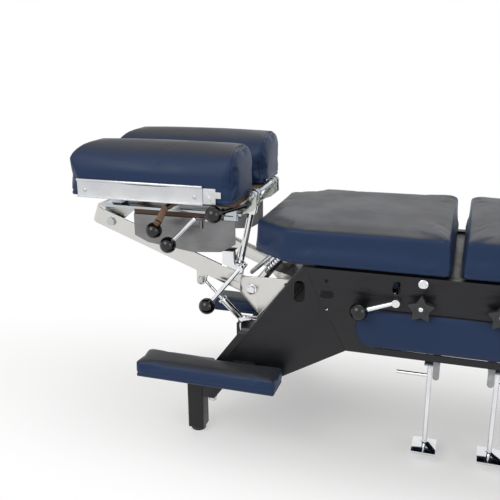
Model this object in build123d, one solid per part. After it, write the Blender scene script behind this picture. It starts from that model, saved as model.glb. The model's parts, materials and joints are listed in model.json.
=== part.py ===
from build123d import *
import os
from math import cos, hypot, radians, sin

os.makedirs("parts", exist_ok=True)

# Sizes in millimetres. +X runs from head to foot, +Z up, the near side with the levers is -Y.
# The origin lies on the floor under the middle of the table's length and width.

# Pads along the table
head_len = 466.0
head_gap = 40.0
thoracic_len = 489.0
pelvic_len = 460.0
foot_len = 425.0
section_gap = 18.0
pad_top = 610.0
pad_width = 483.0
pad_thick = 95.0
pad_edge = 13.0
pad_corner = 10.0
nose_corner = 16.0
hip_corner = 60.0
corner_cut_x = 95.0
corner_cut_y = 74.0
nose_reach = 6.0
head_slope = 4.0
nose_board_inset = 80.0
board_thick = 12.0
board_side_gap = 29.0
board_inset = 12.0

# Head cushions
head_pad_outer = 218.0
head_pad_inner = 41.0
head_pad_bottom = 33.0
head_pad_top = 176.0
head_pad_arch = 68.0
head_pad_crown = 58.0
head_pad_edge = 9.0
head_pad_corner = 12.0
head_pad_nose = 20.0
head_board_half = 184.0

# Side frame: offsets below the pad tops
rail_top_drop = 102.0
rail_bottom_drop = 309.0
rail_face = 232.0
sheet = 3.0
flange = 22.0
rail_end_inset = 16.0
seam_gap = 0.4
bolster_drop = 190.0
bolster_height = 101.0
bolster_start = -213.0
bolster_end_inset = 46.0
bolster_radius = 44.0
bolster_proud = 5.0
bolster_thick = 15.0
bolster_clear = 0.3

# Front gusset, its leading edge, the braces and the legs: offsets from the thoracic pad's head end
lead_top = 138.0
lead_slope = 1.351
gusset_width = 8.0
brace_top_drop = 300.0
brace_low_drop = 500.0
brace_ahead = 20.0
brace_behind = 58.0
brace_depth = 38.0
front_plate_drop = 386.0
front_thick = 4.0
leg_tube = 44.5
leg_wall = 2.5
head_leg_face = -132.0
head_leg_drop = 460.0
foot_leg_inset = 116.0
channel_width = 60.0
channel_height = 68.0
glide_height = 12.0
glide_radius = 20.0
stretcher_height = 90.0
stretcher_tube = 30.0

# Head arm and its pivot: offsets from the thoracic pad's head end and the pad tops
pivot_ahead = -24.0
pivot_drop = 216.0
tip_ahead = -439.0
tip_drop = 61.0
arm_nose = 63.0
arm_height = 46.0
arm_thick = 6.0
arm_half = 115.0
arm_bend = 28.0
bolt_r = 8.0
run_clear = 0.06
tube_r = 11.0
bracket_thick = 5.0
bracket_gap = 3.0

# Tilting headpiece
tray_low = -17.0
tray_thick = 7.0
plank_thick = 18.0
plate_top = -30.0
plate_head = 361.0
plate_foot = 68.0
plate_shoulder = 90.0
plate_deep = 125.0
plate_proud = 13.0
plate_out = arm_half + plate_proud
plate_thick = 4.0
lug_thick = 5.0
lug_gap = 4.0
slot_half = 38.0
head_board_thick = 12.0
hinge_x = -25.0
hinge_z = 38.0
pin_r = 6.0

# Link rod, sleeve and gas strut
link_top = (-30.0, 8.0)
link_low = (-68.0, -168.0)
link_r = 8.5
link_inset = 21.0
link_y = arm_half - link_inset
link_head_wide = 26.0
link_head_up = 12.0
link_head_down = 22.0
link_below = 46.0
sleeve_r = 14.0
sleeve_clear = 2.1
strut_top = (-173.0, -208.0)
strut_low = (-58.0, -319.0)
strut_inset = 15.0
strut_y = arm_half - strut_inset
strut_r = 9.0
strut_rod_r = 4.5
strut_tube = 84.0

# Buffer and threaded stop beside the pivot: offsets from the pad's head end and height over the pad tops
buffer_low = (-1.0, -184.0)
buffer_top = (44.0, -135.0)
buffer_r = 11.0
stop_low = (-46.0, -191.0)
stop_top = (19.0, -131.0)
stop_r = 6.0
buffer_y = 60.0

# Levers, knobs and bolts
ball_r = 22.0
rod_r = 6.0
collar_r = 9.5
collar_len = 12.0
knob_bore = 14.0
bore_clear = 0.1
cam_x = -120.0
cam_drop = 162.0
cam_shaft_r = 8.0
cam_arm = 50.0
cam_roller = 9.0
cam_lean = 32.0
lever_reach = 84.0
lever_fall = 27.0
lever_out = 250.0
lever_knob_out = 262.0
pelvic_cam_x = 172.0
star_x = -62.0
pelvic_star_x = 114.0
star_drop = 170.0
star_r = 34.0
star_thick = 16.0
star_out = 262.0
hinge_pin_r = 6.0
hinge_pin_drop = 122.0
thoracic_pin_x = -325.0
pelvic_pin_inset = 38.0

stud_r = 5.0
lock_hub = (-54.0, -158.0)
lock_proud = 3.0
lock_face = arm_half + lock_proud
lock_knob = (-128.0, -251.0)
drop_hub = (-238.0, 8.0)
drop_knob = (-273.0, -55.0)
strap_wide = 17.0
strap_thick = 5.0
tilt_hub = (-140.0, -24.0)
tilt_elbow = (-156.0, -15.0)
tilt_knob = (-234.0, -91.0)
tension_hub = (-40.0, 12.0)
tension_knob = (-91.0, 9.0)
tension_out = 222.0
knob_out = 190.0

# Pedal rods and armrests
pedal_x = -36.0
pelvic_pedal_x = 124.0
pedal_y = 150.0
pedal_rod_r = 6.3
pedal_rod_top = 250.0
pedal_rise = 35.0
tab_len = 58.0
handle_drop = 386.0
handle_len = 82.0
lever_hub_r = 9.5
armrest_top_drop = 370.0
armrest_thick = 45.0
armrest_head = -284.0
armrest_corner = 12.0
armrest_foot = 99.0
armrest_outer = 328.0
armrest_wide_inner = 230.0
armrest_inner = 240.0
armrest_step = -89.0
far_armrest_lower = 28.0

total_len = head_len + head_gap + thoracic_len + pelvic_len + foot_len + 2 * section_gap
head_x0 = -total_len / 2
head_x1 = head_x0 + head_len
thoracic_x0 = head_x1 + head_gap
thoracic_x1 = thoracic_x0 + thoracic_len
pelvic_x0 = thoracic_x1 + section_gap
pelvic_x1 = pelvic_x0 + pelvic_len
foot_x0 = pelvic_x1 + section_gap
foot_x1 = foot_x0 + foot_len
rail_x1 = foot_x1 - rail_end_inset
rail_top = pad_top - rail_top_drop
rail_bottom = pad_top - rail_bottom_drop
rail_inner = rail_face - sheet
board_bottom = pad_top - pad_thick - board_thick
lip_drop = pad_thick + board_thick + 3


def block(x0, x1, y0, y1, z0, z1):
    """A box between two corners."""
    return Pos((x0 + x1) / 2, (y0 + y1) / 2, (z0 + z1) / 2) * Box(x1 - x0, y1 - y0, z1 - z0)


def side_plate(points, y0, y1):
    """A plate whose outline lies in the XZ plane, between two Y values."""
    outline = Polyline(*[(x, y0, z) for x, z in points], close=True)
    return extrude(make_face(outline), amount=y1 - y0, dir=(0, 1, 0))


def rod(start, end, radius):
    """A round bar between two points."""
    run = Vector(*end) - Vector(*start)
    middle = (Vector(*end) + Vector(*start)) / 2
    return Plane(origin=middle, z_dir=run) * Cylinder(radius, run.length)


def cross_rod(x, z, radius, y0, y1):
    """A round bar along Y."""
    return rod((x, y0, z), (x, y1, z), radius)


def hex_head(x, z, across, y0, y1):
    """A hexagon bolt head or nut along Y."""
    outline = RegularPolygon(across / 2, 6, major_radius=False)
    return extrude(Plane(origin=(x, y0, z), z_dir=(0, 1, 0)) * outline, amount=y1 - y0)


def ball(x, y, z):
    """A ball knob with a flat seat, standing on its rod's end."""
    return Pos(x, y, z) * Sphere(ball_r)


def from_head(offset, drop):
    """A point given from the thoracic pad's head end and the pad tops."""
    return thoracic_x0 + offset, pad_top - drop


def raised(pair):
    """A point given by its offset from the thoracic pad's head end and its height over the pad tops."""
    return thoracic_x0 + pair[0], pad_top + pair[1]


def mirrored(shape):
    """The far side's copy of a near side piece."""
    return mirror(shape, about=Plane.XZ)


def save(name, shape):
    """Writes one node."""
    solids = shape.solids()
    whole = solids[0] if len(solids) == 1 else Compound(children=list(solids))
    whole.label = name
    export_step(whole, f"parts/{name}.step")


def lead_x(drop):
    """The leading edge's X at a given drop below the pad tops."""
    return thoracic_x0 + lead_top - (drop - rail_top_drop) / lead_slope


def pad(x0, x1, outline, slope):
    """An upholstered pad: a plan outline, an edge radius and a top that falls towards the head."""
    bottom = pad_top - pad_thick
    body = extrude(outline, amount=pad_thick)
    body = Pos(0, 0, bottom) * body
    side = [(x0, bottom), (x1, bottom), (x1, pad_top), (x0, pad_top - slope)]
    body = body & side_plate(side, -pad_width, pad_width)
    top = body.faces().sort_by(Axis.Z)[-1]
    return fillet(top.edges(), pad_edge)


def thoracic_pad():
    """The pad with its head-end corners cut in plan."""
    half = pad_width / 2
    nose = thoracic_x0 - nose_reach
    plan = [
        (nose, corner_cut_y - half),
        (thoracic_x0 + corner_cut_x, -half),
        (thoracic_x1, -half),
        (thoracic_x1, half),
        (thoracic_x0 + corner_cut_x, half),
        (nose, half - corner_cut_y),
    ]
    outline = make_face(Polyline(*plan, close=True))
    outline = fillet(outline.vertices().group_by(Axis.X)[-1], pad_corner)
    hips = outline.vertices().filter_by_position(Axis.X, nose + 1, thoracic_x1 - pad_corner - 1)
    outline = fillet(hips, hip_corner)
    outline = fillet(outline.vertices().group_by(Axis.X)[0], nose_corner)
    return pad(nose, thoracic_x1, outline, head_slope)


def plain_pad(x0, x1):
    """A pad with a rectangular plan."""
    half = pad_width / 2
    outline = make_face(Polyline((x0, -half), (x1, -half), (x1, half), (x0, half), close=True))
    return pad(x0, x1, fillet(outline.vertices(), pad_corner), 0.0)


def board(x0, x1, lug_x):
    """A pad's board with two lugs that hang on a hinge pin."""
    half = rail_inner - board_side_gap
    plate = block(x0 + board_inset, x1 - board_inset, -half, half, board_bottom, pad_top - pad_thick)
    if lug_x is None:
        return plate
    pin_z = pad_top - hinge_pin_drop
    for y in (-half + 40, half - 60):
        lug = block(lug_x - 12, lug_x + 12, y, y + 20, pin_z, board_bottom)
        lug = lug + cross_rod(lug_x, pin_z, 12, y, y + 20)
        plate = plate + lug
    return plate - cross_rod(lug_x, pin_z, hinge_pin_r + run_clear, -half, half)


def seam_points():
    """The joint line between gusset and rail, from the top edge down."""
    top = (lead_x(rail_top_drop) + gusset_width, rail_top)
    gx = thoracic_x1
    return [
        top,
        (gx - 307, pad_top - 181),
        (gx - 303, pad_top - 191),
        (gx - 305, pad_top - 224),
        (gx - 277, pad_top - 233),
        (gx - 236.5, rail_bottom),
    ]


def bolster_box():
    """The ends and heights of the opening for the side bolster."""
    x0 = thoracic_x1 + bolster_start
    x1 = rail_x1 - bolster_end_inset
    z1 = pad_top - bolster_drop
    return x0, x1, z1 - bolster_height, z1


def rounded_bar(x0, x1, z0, z1, y0, y1, radius):
    """A rounded rectangle in the XZ plane, given a thickness."""
    shape = block(x0, x1, y0, y1, z0, z1)
    return fillet(shape.edges().filter_by(Axis.Y), radius)


def side_rail():
    """The near rail: a pressed channel with the bolster's opening, slots and shaft holes."""
    seam = [(x + seam_gap, z) for x, z in seam_points()]
    outline = seam + [(rail_x1, rail_bottom), (rail_x1, rail_top)]
    rail = side_plate(outline, -rail_face, -rail_inner)
    lip = rail_inner - flange
    top_x = seam[0][0]
    low_x = seam[-1][0]
    rail = rail + block(top_x + flange, rail_x1, -rail_inner, -lip, rail_top - sheet, rail_top)
    rail = rail + block(low_x + flange, rail_x1, -rail_inner, -lip, rail_bottom, rail_bottom + sheet)
    x0, x1, z0, z1 = bolster_box()
    rail = rail - rounded_bar(x0, x1, z0, z1, -rail_face - 1, -rail_inner + 1, bolster_radius)
    gx = thoracic_x1
    oval = rounded_bar(gx - 305, gx - 270, pad_top - 176, pad_top - 157, -rail_face - 1, -rail_inner + 1, 9)
    rail = rail - oval
    for drop in (132, 205):
        rail = rail - cross_rod(gx - 289, pad_top - drop, 4.5, -rail_face - 1, -rail_inner + 1)
    for x in (cam_x, pelvic_cam_x):
        bore = cam_shaft_r + run_clear
        rail = rail - cross_rod(gx + x, pad_top - cam_drop, bore, -rail_face - 1, -rail_inner + 1)
    return rail


def near_holes():
    """The holes that only the near rail has: star knob stems and the slots over the levers."""
    gx = thoracic_x1
    holes = []
    for x in (star_x, pelvic_star_x):
        bore = cam_shaft_r + run_clear
        holes.append(cross_rod(gx + x, pad_top - star_drop, bore, -rail_face - 1, -rail_inner + 1))
    for x in (cam_x, pelvic_cam_x):
        slot = rounded_bar(
            gx + x - 12, gx + x + 8, pad_top - 148, pad_top - 116, -rail_face - 1, -rail_inner + 1, 9.5
        )
        holes.append(slot)
    return holes


def gusset():
    """The near front gusset: its leading edge, slot, tail and the flange behind the leading edge."""
    tail_drop = 384.0
    heel = (thoracic_x0 - 11, pad_top - 464)
    outline = [(lead_x(rail_top_drop), rail_top)] + seam_points() + [heel]
    outline = outline + [(lead_x(tail_drop), pad_top - tail_drop)]
    plate = side_plate(outline, -rail_face, -rail_inner)
    slot_x = thoracic_x0 + 132.5
    z0, z1 = pad_top - 195, pad_top - 139
    plate = plate - rounded_bar(slot_x - 14, slot_x + 14, z0, z1, -rail_face - 1, -rail_inner + 1, 13.5)
    back = sheet * 1.25
    lip = [
        (lead_x(lip_drop), pad_top - lip_drop),
        (lead_x(lip_drop) + back, pad_top - lip_drop),
        (lead_x(brace_top_drop) + back, pad_top - brace_top_drop),
        (lead_x(brace_top_drop), pad_top - brace_top_drop),
    ]
    return plate + side_plate(lip, -rail_inner, brace_depth - rail_inner)


def front_plate():
    """The inclined plate between the gusset flanges and the braces."""
    half = rail_inner - brace_depth
    back = front_thick * 1.25
    outline = [
        (lead_x(lip_drop), pad_top - lip_drop),
        (lead_x(lip_drop) + back, pad_top - lip_drop),
        (lead_x(front_plate_drop) + back, pad_top - front_plate_drop),
        (lead_x(front_plate_drop), pad_top - front_plate_drop),
    ]
    return side_plate(outline, -half, half)


def brace():
    """The near diagonal brace: a pressed channel from behind the gusset down to the leg."""
    leg_x = thoracic_x0 + head_leg_face
    leg_drop = rail_top_drop + (lead_x(rail_top_drop) - brace_ahead - leg_x) * lead_slope
    top = pad_top - brace_top_drop
    low = pad_top - brace_low_drop
    outline = [
        (lead_x(brace_top_drop) - brace_ahead, top),
        (lead_x(brace_top_drop) + brace_behind, top),
        (lead_x(brace_low_drop) + brace_behind, low),
        (leg_x, low),
        (leg_x, pad_top - leg_drop),
    ]
    whole = side_plate(outline, -rail_inner, brace_depth - rail_inner)
    web = sheet * 1.7
    pocket = [
        (lead_x(brace_top_drop) - brace_ahead + web, top - sheet),
        (lead_x(brace_top_drop) + brace_behind - web * 1.7, top - sheet),
        (lead_x(brace_low_drop) + brace_behind - web, low + sheet),
        (leg_x + sheet, low + sheet),
        (leg_x + sheet, pad_top - leg_drop - sheet),
    ]
    return whole - side_plate(pocket, sheet - rail_inner, brace_depth - rail_inner + 1)


def leg(x0, top):
    """A near square tube leg, open at the foot."""
    y0 = -rail_inner
    outer = block(x0, x0 + leg_tube, y0, y0 + leg_tube, glide_height, top)
    outer = fillet(outer.edges().filter_by(Axis.Z), 4)
    inner = block(
        x0 + leg_wall, x0 + leg_tube - leg_wall, y0 + leg_wall, y0 + leg_tube - leg_wall, 0, top - leg_wall
    )
    return outer - inner


def foot_leg_frame():
    """The foot-end legs with their stretcher, one welded frame."""
    x0 = rail_x1 - foot_leg_inset
    near = leg(x0, rail_bottom)
    half = rail_inner - leg_tube
    middle = x0 + leg_tube / 2
    bar = block(
        middle - stretcher_tube / 2, middle + stretcher_tube / 2, -half, half,
        stretcher_height, stretcher_height + stretcher_tube,
    )
    return near + mirrored(near) + bar


def glides():
    """The four glides, each a disc with a plug in its leg."""
    shapes = []
    plug = leg_tube / 2 - leg_wall - 0.2
    for x0 in (thoracic_x0 + head_leg_face - leg_tube, rail_x1 - foot_leg_inset):
        x = x0 + leg_tube / 2
        y = leg_tube / 2 - rail_inner
        disc = Pos(x, y, glide_height / 2) * Cylinder(glide_radius, glide_height)
        disc = fillet(disc.edges().sort_by(Axis.Z)[0], 3)
        stem = block(x - plug, x + plug, y - plug, y + plug, glide_height, glide_height + 16)
        glide = disc + stem
        shapes.append(glide)
        shapes.append(mirrored(glide))
    return Compound(children=shapes)


def cross_channels():
    """The channels between the rails on which the boards land."""
    shapes = []
    top = board_bottom - bolster_clear
    low = top - channel_height
    between = (thoracic_x1 + pelvic_x0) / 2
    for x in (thoracic_x1 - 235, between, pelvic_x0 + 330, foot_x0 + 40, foot_x1 - 120):
        half = channel_width / 2
        outer = block(x - half, x + half, -rail_inner, rail_inner, low, top)
        wide = half - sheet
        pocket = block(x - wide, x + wide, -rail_inner - 1, rail_inner + 1, low - 1, top - sheet)
        shapes.append(outer - pocket)
    return Compound(children=shapes)


def side_bolster():
    """The near side bolster: it fills the rail's opening and stands a little proud."""
    x0, x1, z0, z1 = bolster_box()
    c = bolster_clear
    face = -rail_face - bolster_proud
    body = rounded_bar(x0 + c, x1 - c, z0 + c, z1 - c, face, face + bolster_thick, bolster_radius - c)
    return fillet(body.faces().sort_by(Axis.Y)[0].edges(), 3.5)


def arm_line(along, across):
    """A point along the head arm from its pivot towards its head end, offset square to it."""
    px, pz = from_head(pivot_ahead, pivot_drop)
    tx, tz = from_head(tip_ahead, tip_drop)
    length = hypot(tx - px, tz - pz)
    ux, uz = (tx - px) / length, (tz - pz) / length
    return px + ux * along + uz * across, pz + uz * along - ux * across


def arm_tip():
    """The distance from the arm's pivot to its head-end bolt."""
    px, pz = from_head(pivot_ahead, pivot_drop)
    tx, tz = from_head(tip_ahead, tip_drop)
    return hypot(tx - px, tz - pz)


def head_arm():
    """The arm: a flat bar bent to a U, its pivot tube and the ears for the strut and the link sleeve."""
    px, pz = from_head(pivot_ahead, pivot_drop)
    tx, tz = from_head(tip_ahead, tip_drop)
    length = arm_tip()
    end = length + arm_nose
    slope = Plane(origin=(px, 0, pz), x_dir=(tx - px, 0, tz - pz), z_dir=(-(tz - pz), 0, tx - px))
    outer = Pos(end / 2, 0) * Rectangle(end, 2 * arm_half)
    outer = fillet(outer.vertices().group_by(Axis.X)[-1], arm_bend)
    reach = end - arm_thick
    inner = Pos(reach / 2 - 1, 0) * Rectangle(reach + 2, 2 * (arm_half - arm_thick))
    inner = fillet(inner.vertices().group_by(Axis.X)[-1], arm_bend - arm_thick)
    arm = extrude(slope * (outer - inner), amount=arm_height / 2, both=True)
    inside = arm_half - arm_thick
    for side in (-1, 1):
        y0, y1 = sorted((side * inside, side * arm_half))
        arm = arm + cross_rod(px, pz, arm_height / 2, y0, y1)
    ux, uz = raised(strut_top)
    ear = cross_rod(ux, uz, 13, -arm_half, -inside)
    neck = [arm_line(130, 10), arm_line(176, 10), (ux - 13, uz), (ux + 13, uz)]
    arm = arm + ear + side_plate(neck, -arm_half, -inside)
    arm = arm + cross_rod(px, pz, tube_r + 2, -inside, inside)
    arm = arm - cross_rod(px, pz, bolt_r + run_clear, -arm_half - 1, arm_half + 1)
    arm = arm - cross_rod(tx, tz, bolt_r, -arm_half - 1, arm_half + 1)
    return arm - cross_rod(ux, uz, 5, -arm_half - 1, -inside + 1)


def arm_bolts():
    """The arm's head-end bolts and the strut's upper bolt, with heads outside."""
    tx, tz = from_head(tip_ahead, tip_drop)
    ux, uz = raised(strut_top)
    inside = arm_half - arm_thick
    stub = inside - lug_gap - lug_thick - 4
    near = cross_rod(tx, tz, bolt_r, -arm_half, -stub)
    near = near + cross_rod(tx, tz, bolt_r + 3, -arm_half - 6, -arm_half)
    top = cross_rod(ux, uz, 5, -arm_half, -strut_y + 9) + hex_head(ux, uz, 17, -arm_half - 9, -arm_half)
    return Compound(children=[near, mirrored(near), top])


def link_run():
    """The link rod's lower point and its unit run towards the upper pin."""
    lx, lz = raised(link_low)
    tx, tz = raised(link_top)
    length = hypot(tx - lx, tz - lz)
    return lx, lz, (tx - lx) / length, (tz - lz) / length


def sleeve():
    """The link rod's sleeve on a block inside the near arm plate, with the lock screw's boss."""
    lx, lz, ux, uz = link_run()
    inside = arm_half - arm_thick
    low = (lx - 14 * ux, -link_y, lz - 14 * uz)
    high = (lx + 14 * ux, -link_y, lz + 14 * uz)
    tube = rod(low, high, sleeve_r)
    seat = block(lx - 47, lx - 4, -inside, -link_y + 18, lz - 32, lz + 10)
    rest = block(lx - 44, lx - 12, -inside, -link_y + 24, lz + 10, lz + 48)
    hx, hz = raised(lock_hub)
    boss = cross_rod(hx, hz, 9, -lock_face, -link_y)
    hole = rod(
        (lx - 40 * ux, -link_y, lz - 40 * uz), (lx + 60 * ux, -link_y, lz + 60 * uz), link_r + sleeve_clear
    )
    stud = cross_rod(hx, hz, stud_r + run_clear, -lock_face - 1, -lock_face + 7)
    return (tube + seat + rest + boss) - hole - stud


def link():
    """The slanted link rod with the flattened head at its upper pin."""
    lx, lz, ux, uz = link_run()
    tx, tz = raised(link_top)
    bar = rod((tx, -link_y, tz), (lx - link_below * ux, -link_y, lz - link_below * uz), link_r)
    half = link_head_wide / 2
    corners = []
    for along, side in ((link_head_up, -1), (link_head_up, 1), (-link_head_down, 1), (-link_head_down, -1)):
        across = side * half
        corners.append((tx + along * ux + across * uz, tz + along * uz - across * ux))
    head = side_plate(corners, -link_y - link_r, -link_y + link_r)
    head = fillet(head.edges().filter_by(Axis.Y), 4)
    return (bar + head) - cross_rod(tx, tz, 5 + run_clear, -link_y - 9, -link_y + 9)


def bracket():
    """The near pivot bracket: a polished plate on the inclined front plate, with its foot."""
    outer = -arm_half - bracket_gap - bracket_thick
    outline = [
        (thoracic_x0 - 56, pad_top - 182),
        (thoracic_x0 - 58, pad_top - 226),
        (lead_x(290), pad_top - 290),
        (lead_x(178), pad_top - 178),
    ]
    plate = side_plate(outline, outer, outer + bracket_thick)
    foot = [
        (lead_x(186) - 6, pad_top - 186),
        (lead_x(186), pad_top - 186),
        (lead_x(288), pad_top - 288),
        (lead_x(288) - 6, pad_top - 288),
    ]
    plate = plate + side_plate(foot, outer - 26, outer + bracket_thick)
    px, pz = from_head(pivot_ahead, pivot_drop)
    return plate - cross_rod(px, pz, bolt_r, outer - 1, outer + bracket_thick + 1)


def pivot_bolt():
    """The bolt through both brackets and the arm's cross tube."""
    px, pz = from_head(pivot_ahead, pivot_drop)
    face = arm_half + bracket_gap + bracket_thick
    shaft = cross_rod(px, pz, bolt_r, -face, face)
    head = cross_rod(px, pz, 14, -face - 2, -face) + hex_head(px, pz, 20, -face - 12, -face - 2)
    nut = cross_rod(px, pz, 14, face, face + 2) + hex_head(px, pz, 20, face + 2, face + 14)
    return shaft + head + nut


def buffer():
    """The buffer cylinder and the threaded stop on their bracket, inside the near pivot bracket."""
    y = -buffer_y
    shapes = []
    for low, top, radius in ((buffer_low, buffer_top, buffer_r), (stop_low, stop_top, stop_r)):
        (ax, az), (bx, bz) = raised(low), raised(top)
        shapes.append(rod((ax, y, az), (bx, y, bz), radius))
    (ax, az), (bx, bz) = raised(buffer_low), raised(stop_low)
    (cx, cz), (dx, dz) = raised(stop_top), raised(buffer_top)
    web = [((ax + cx) / 2, (az + cz) / 2), (bx * 0.3 + cx * 0.7, bz * 0.3 + cz * 0.7), (cx, cz), (dx, dz)]
    foot = [(lead_x(190), pad_top - 190), (ax + 8, az + 10), (dx - 6, dz - 6), (lead_x(140), pad_top - 140)]
    bracket_plate = side_plate(web, y - 3, y + 3) + side_plate(foot, y - 3, y + 3)
    return shapes[0] + shapes[1] + bracket_plate


def strut_ends():
    """The strut's upper and lower eye centres."""
    return raised(strut_top), raised(strut_low)


def strut_tube_shape():
    """The strut's cylinder with its collar and lower eye."""
    (ux, uz), (lx, lz) = strut_ends()
    length = hypot(ux - lx, uz - lz)
    dx, dz = (ux - lx) / length, (uz - lz) / length
    y = -strut_y
    tube = rod((lx + 12 * dx, y, lz + 12 * dz), (lx + strut_tube * dx, y, lz + strut_tube * dz), strut_r)
    collar_at = strut_tube - 8
    end = (lx + strut_tube * dx, y, lz + strut_tube * dz)
    collar = rod((lx + collar_at * dx, y, lz + collar_at * dz), end, strut_r + 3)
    eye = cross_rod(lx, lz, 9, y - 6, y + 6)
    neck = rod((lx, y, lz), (lx + 14 * dx, y, lz + 14 * dz), 5)
    bore = rod(
        (lx + 16 * dx, y, lz + 16 * dz), (lx + (strut_tube + 2) * dx, y, lz + (strut_tube + 2) * dz),
        strut_rod_r + run_clear,
    )
    pin = cross_rod(lx, lz, 5 + run_clear, y - 8, y + 8)
    return (tube + collar + eye + neck) - bore - pin


def strut_rod_shape():
    """The strut's rod with its upper eye, which has clearance on its bolt."""
    (ux, uz), (lx, lz) = strut_ends()
    length = hypot(ux - lx, uz - lz)
    dx, dz = (ux - lx) / length, (uz - lz) / length
    y = -strut_y
    low = strut_tube - 14
    bar = rod((lx + low * dx, y, lz + low * dz), (ux - 6 * dx, y, uz - 6 * dz), strut_rod_r)
    eye = cross_rod(ux, uz, 11, y - 6, y + 6)
    return (bar + eye) - cross_rod(ux, uz, 7, y - 8, y + 8)


def clevis():
    """The strut's triangular clevis on the front plate, with its pin."""
    lx, lz = raised(strut_low)
    cheek = [(lx - 10, lz + 6), (lx - 4, lz + 12)]
    cheek = cheek + [(lead_x(308), pad_top - 308), (lead_x(366), pad_top - 366)]
    y = -strut_y
    near = side_plate(cheek, y - 12, y - 7)
    far = side_plate(cheek, y + 7, y + 12)
    pin = cross_rod(lx, lz, 5, y - 14, y + 14)
    return near + far + pin


def tray():
    """The headpiece's tray: a slotted plate, its lugs for the arm, rests and the drop hinge ears."""
    half = plate_out - plate_thick
    x0 = thoracic_x0 - 461
    x1 = thoracic_x0 - 52
    z0 = pad_top + tray_low
    z1 = z0 + tray_thick
    plate = block(x0, x1, -half, half, z0, z1)
    plate = plate - block(thoracic_x0 - 400, thoracic_x0 - 110, -slot_half, slot_half, z0 - 1, z1 + 1)
    tx, tz = from_head(tip_ahead, tip_drop)
    inside = arm_half - arm_thick - lug_gap
    outline = [(tx - 22, z0), (tx + 78, z0), (tx + 10, tz - 14), (tx - 12, tz - 12), (tx - 18, tz)]
    lug = side_plate(outline, -inside, lug_thick - inside)
    lug = lug - cross_rod(tx, tz, bolt_r + run_clear, -inside - 1, lug_thick - inside + 1)
    rest_top = pad_top + head_pad_bottom - head_board_thick - bolster_clear
    rest = block(x0 + 20, x0 + 50, -inside + 5, -inside + 45, z1, rest_top)
    hx, hz = thoracic_x0 + hinge_x, pad_top + hinge_z
    lx, lz = raised(link_top)
    ear = [(x1 - 6, z0), (x1 - 6, z1), (hx - 10, hz), (hx + 10, hz), (lx + 16, lz), (lx, lz - 14)]
    near = lug + rest
    for y in (-link_y - 15, -link_y + 9):
        near = near + side_plate(ear, y, y + 6) + cross_rod(hx, hz, 11, y, y + 6)
    shape = plate + near + mirrored(near)
    shape = shape - cross_rod(hx, hz, pin_r + run_clear, -half, half)
    kx, kz = raised(tension_hub)
    shape = shape - cross_rod(kx, kz, stud_r + run_clear, -link_y - 16, -link_y - 8)
    clamp = block(thoracic_x0 - 95, thoracic_x0 - 60, -half - 14, -half, z0 - 11, z1 + 13)
    clamp = fillet(clamp.edges().filter_by(Axis.X), 3)
    split = block(thoracic_x0 - 96, thoracic_x0 - 70, -half - 15, -half - 5, z0 + 1, z0 + 4)
    dx, dz = raised(drop_hub)
    stand = block(dx - 11, dx + 11, -half, 14 - half, z0, dz) + cross_rod(dx, dz, 11, -half, 14 - half)
    stand = stand - cross_rod(dx, dz, stud_r + run_clear, -half - 1, 15 - half)
    shape = shape + (clamp - split) + stand
    return shape + cross_rod(lx, lz, 5, -link_y - 15, -link_y + 15)


def drop_hinge():
    """The head board's hinge pin with the two hangers that hold the board."""
    hx, hz = thoracic_x0 + hinge_x, pad_top + hinge_z
    z0 = pad_top + head_pad_bottom - head_board_thick
    end = head_x1 - 8 + 0.2
    under = pad_top + head_pad_bottom - 0.4
    pin = cross_rod(hx, hz, pin_r, -link_y - 20, link_y + 20)
    outline = [
        (end - 60, z0 - 4),
        (end - 60, z0),
        (end, z0),
        (end, under),
        (head_x1 + 0.4, under),
        (head_x1 + 0.4, hz + 9),
        (hx + 9, hz + 9),
        (hx + 9, hz - 9),
        (end + 6, z0 - 4),
    ]
    hanger = side_plate(outline, 28 - link_y, 34 - link_y)
    return pin + hanger + mirrored(hanger)


def planks():
    """The wooden planks under the tray, one on each side of the slot."""
    z1 = pad_top + tray_low
    y0 = plate_thick - plate_out
    y1 = -slot_half - 22
    near = block(thoracic_x0 - plate_head, thoracic_x0 - plate_foot - 2, y0, y1, z1 - plank_thick, z1)
    far = mirrored(near)
    hx, hz = raised(tilt_hub)
    near = near - cross_rod(hx, hz, stud_r + run_clear, y0 - 1, y0 + 14)
    return Compound(children=[near, far])


def tilt_plates():
    """The brushed side plates under the headpiece, with chamfered lower corners."""
    x = thoracic_x0
    z = pad_top
    outline = [
        (x - plate_head, z + plate_top),
        (x - plate_head, z - plate_shoulder),
        (x - plate_head + 39, z - plate_shoulder - 18),
        (x - 189, z - plate_deep),
        (x - plate_foot - 40, z - plate_deep + 7),
        (x - plate_foot, z - plate_shoulder - 4),
        (x - plate_foot, z + plate_top),
    ]
    plate = side_plate(outline, -plate_out, plate_thick - plate_out)
    corners = plate.edges().filter_by(Axis.Y).group_by(Axis.Z)
    plate = fillet(corners[0] + corners[1] + corners[2], 12)
    pin = rod((x - 162, -plate_out - 4, z - 56), (x - 162, -plate_out - 4, z + plate_top), 5)
    return Compound(children=[plate + pin, mirrored(plate)])


def head_board():
    """The head cushions' board, open to the head between the cushions, on the drop hinge."""
    z1 = pad_top + head_pad_bottom
    half = head_board_half
    x1 = head_x1 - 8
    plate = block(head_x0 + 55, x1, -half, half, z1 - head_board_thick, z1)
    slot = block(head_x0, head_x1 - 70, -slot_half, slot_half, z1 - head_board_thick - 1, z1 + 1)
    return plate - slot


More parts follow.
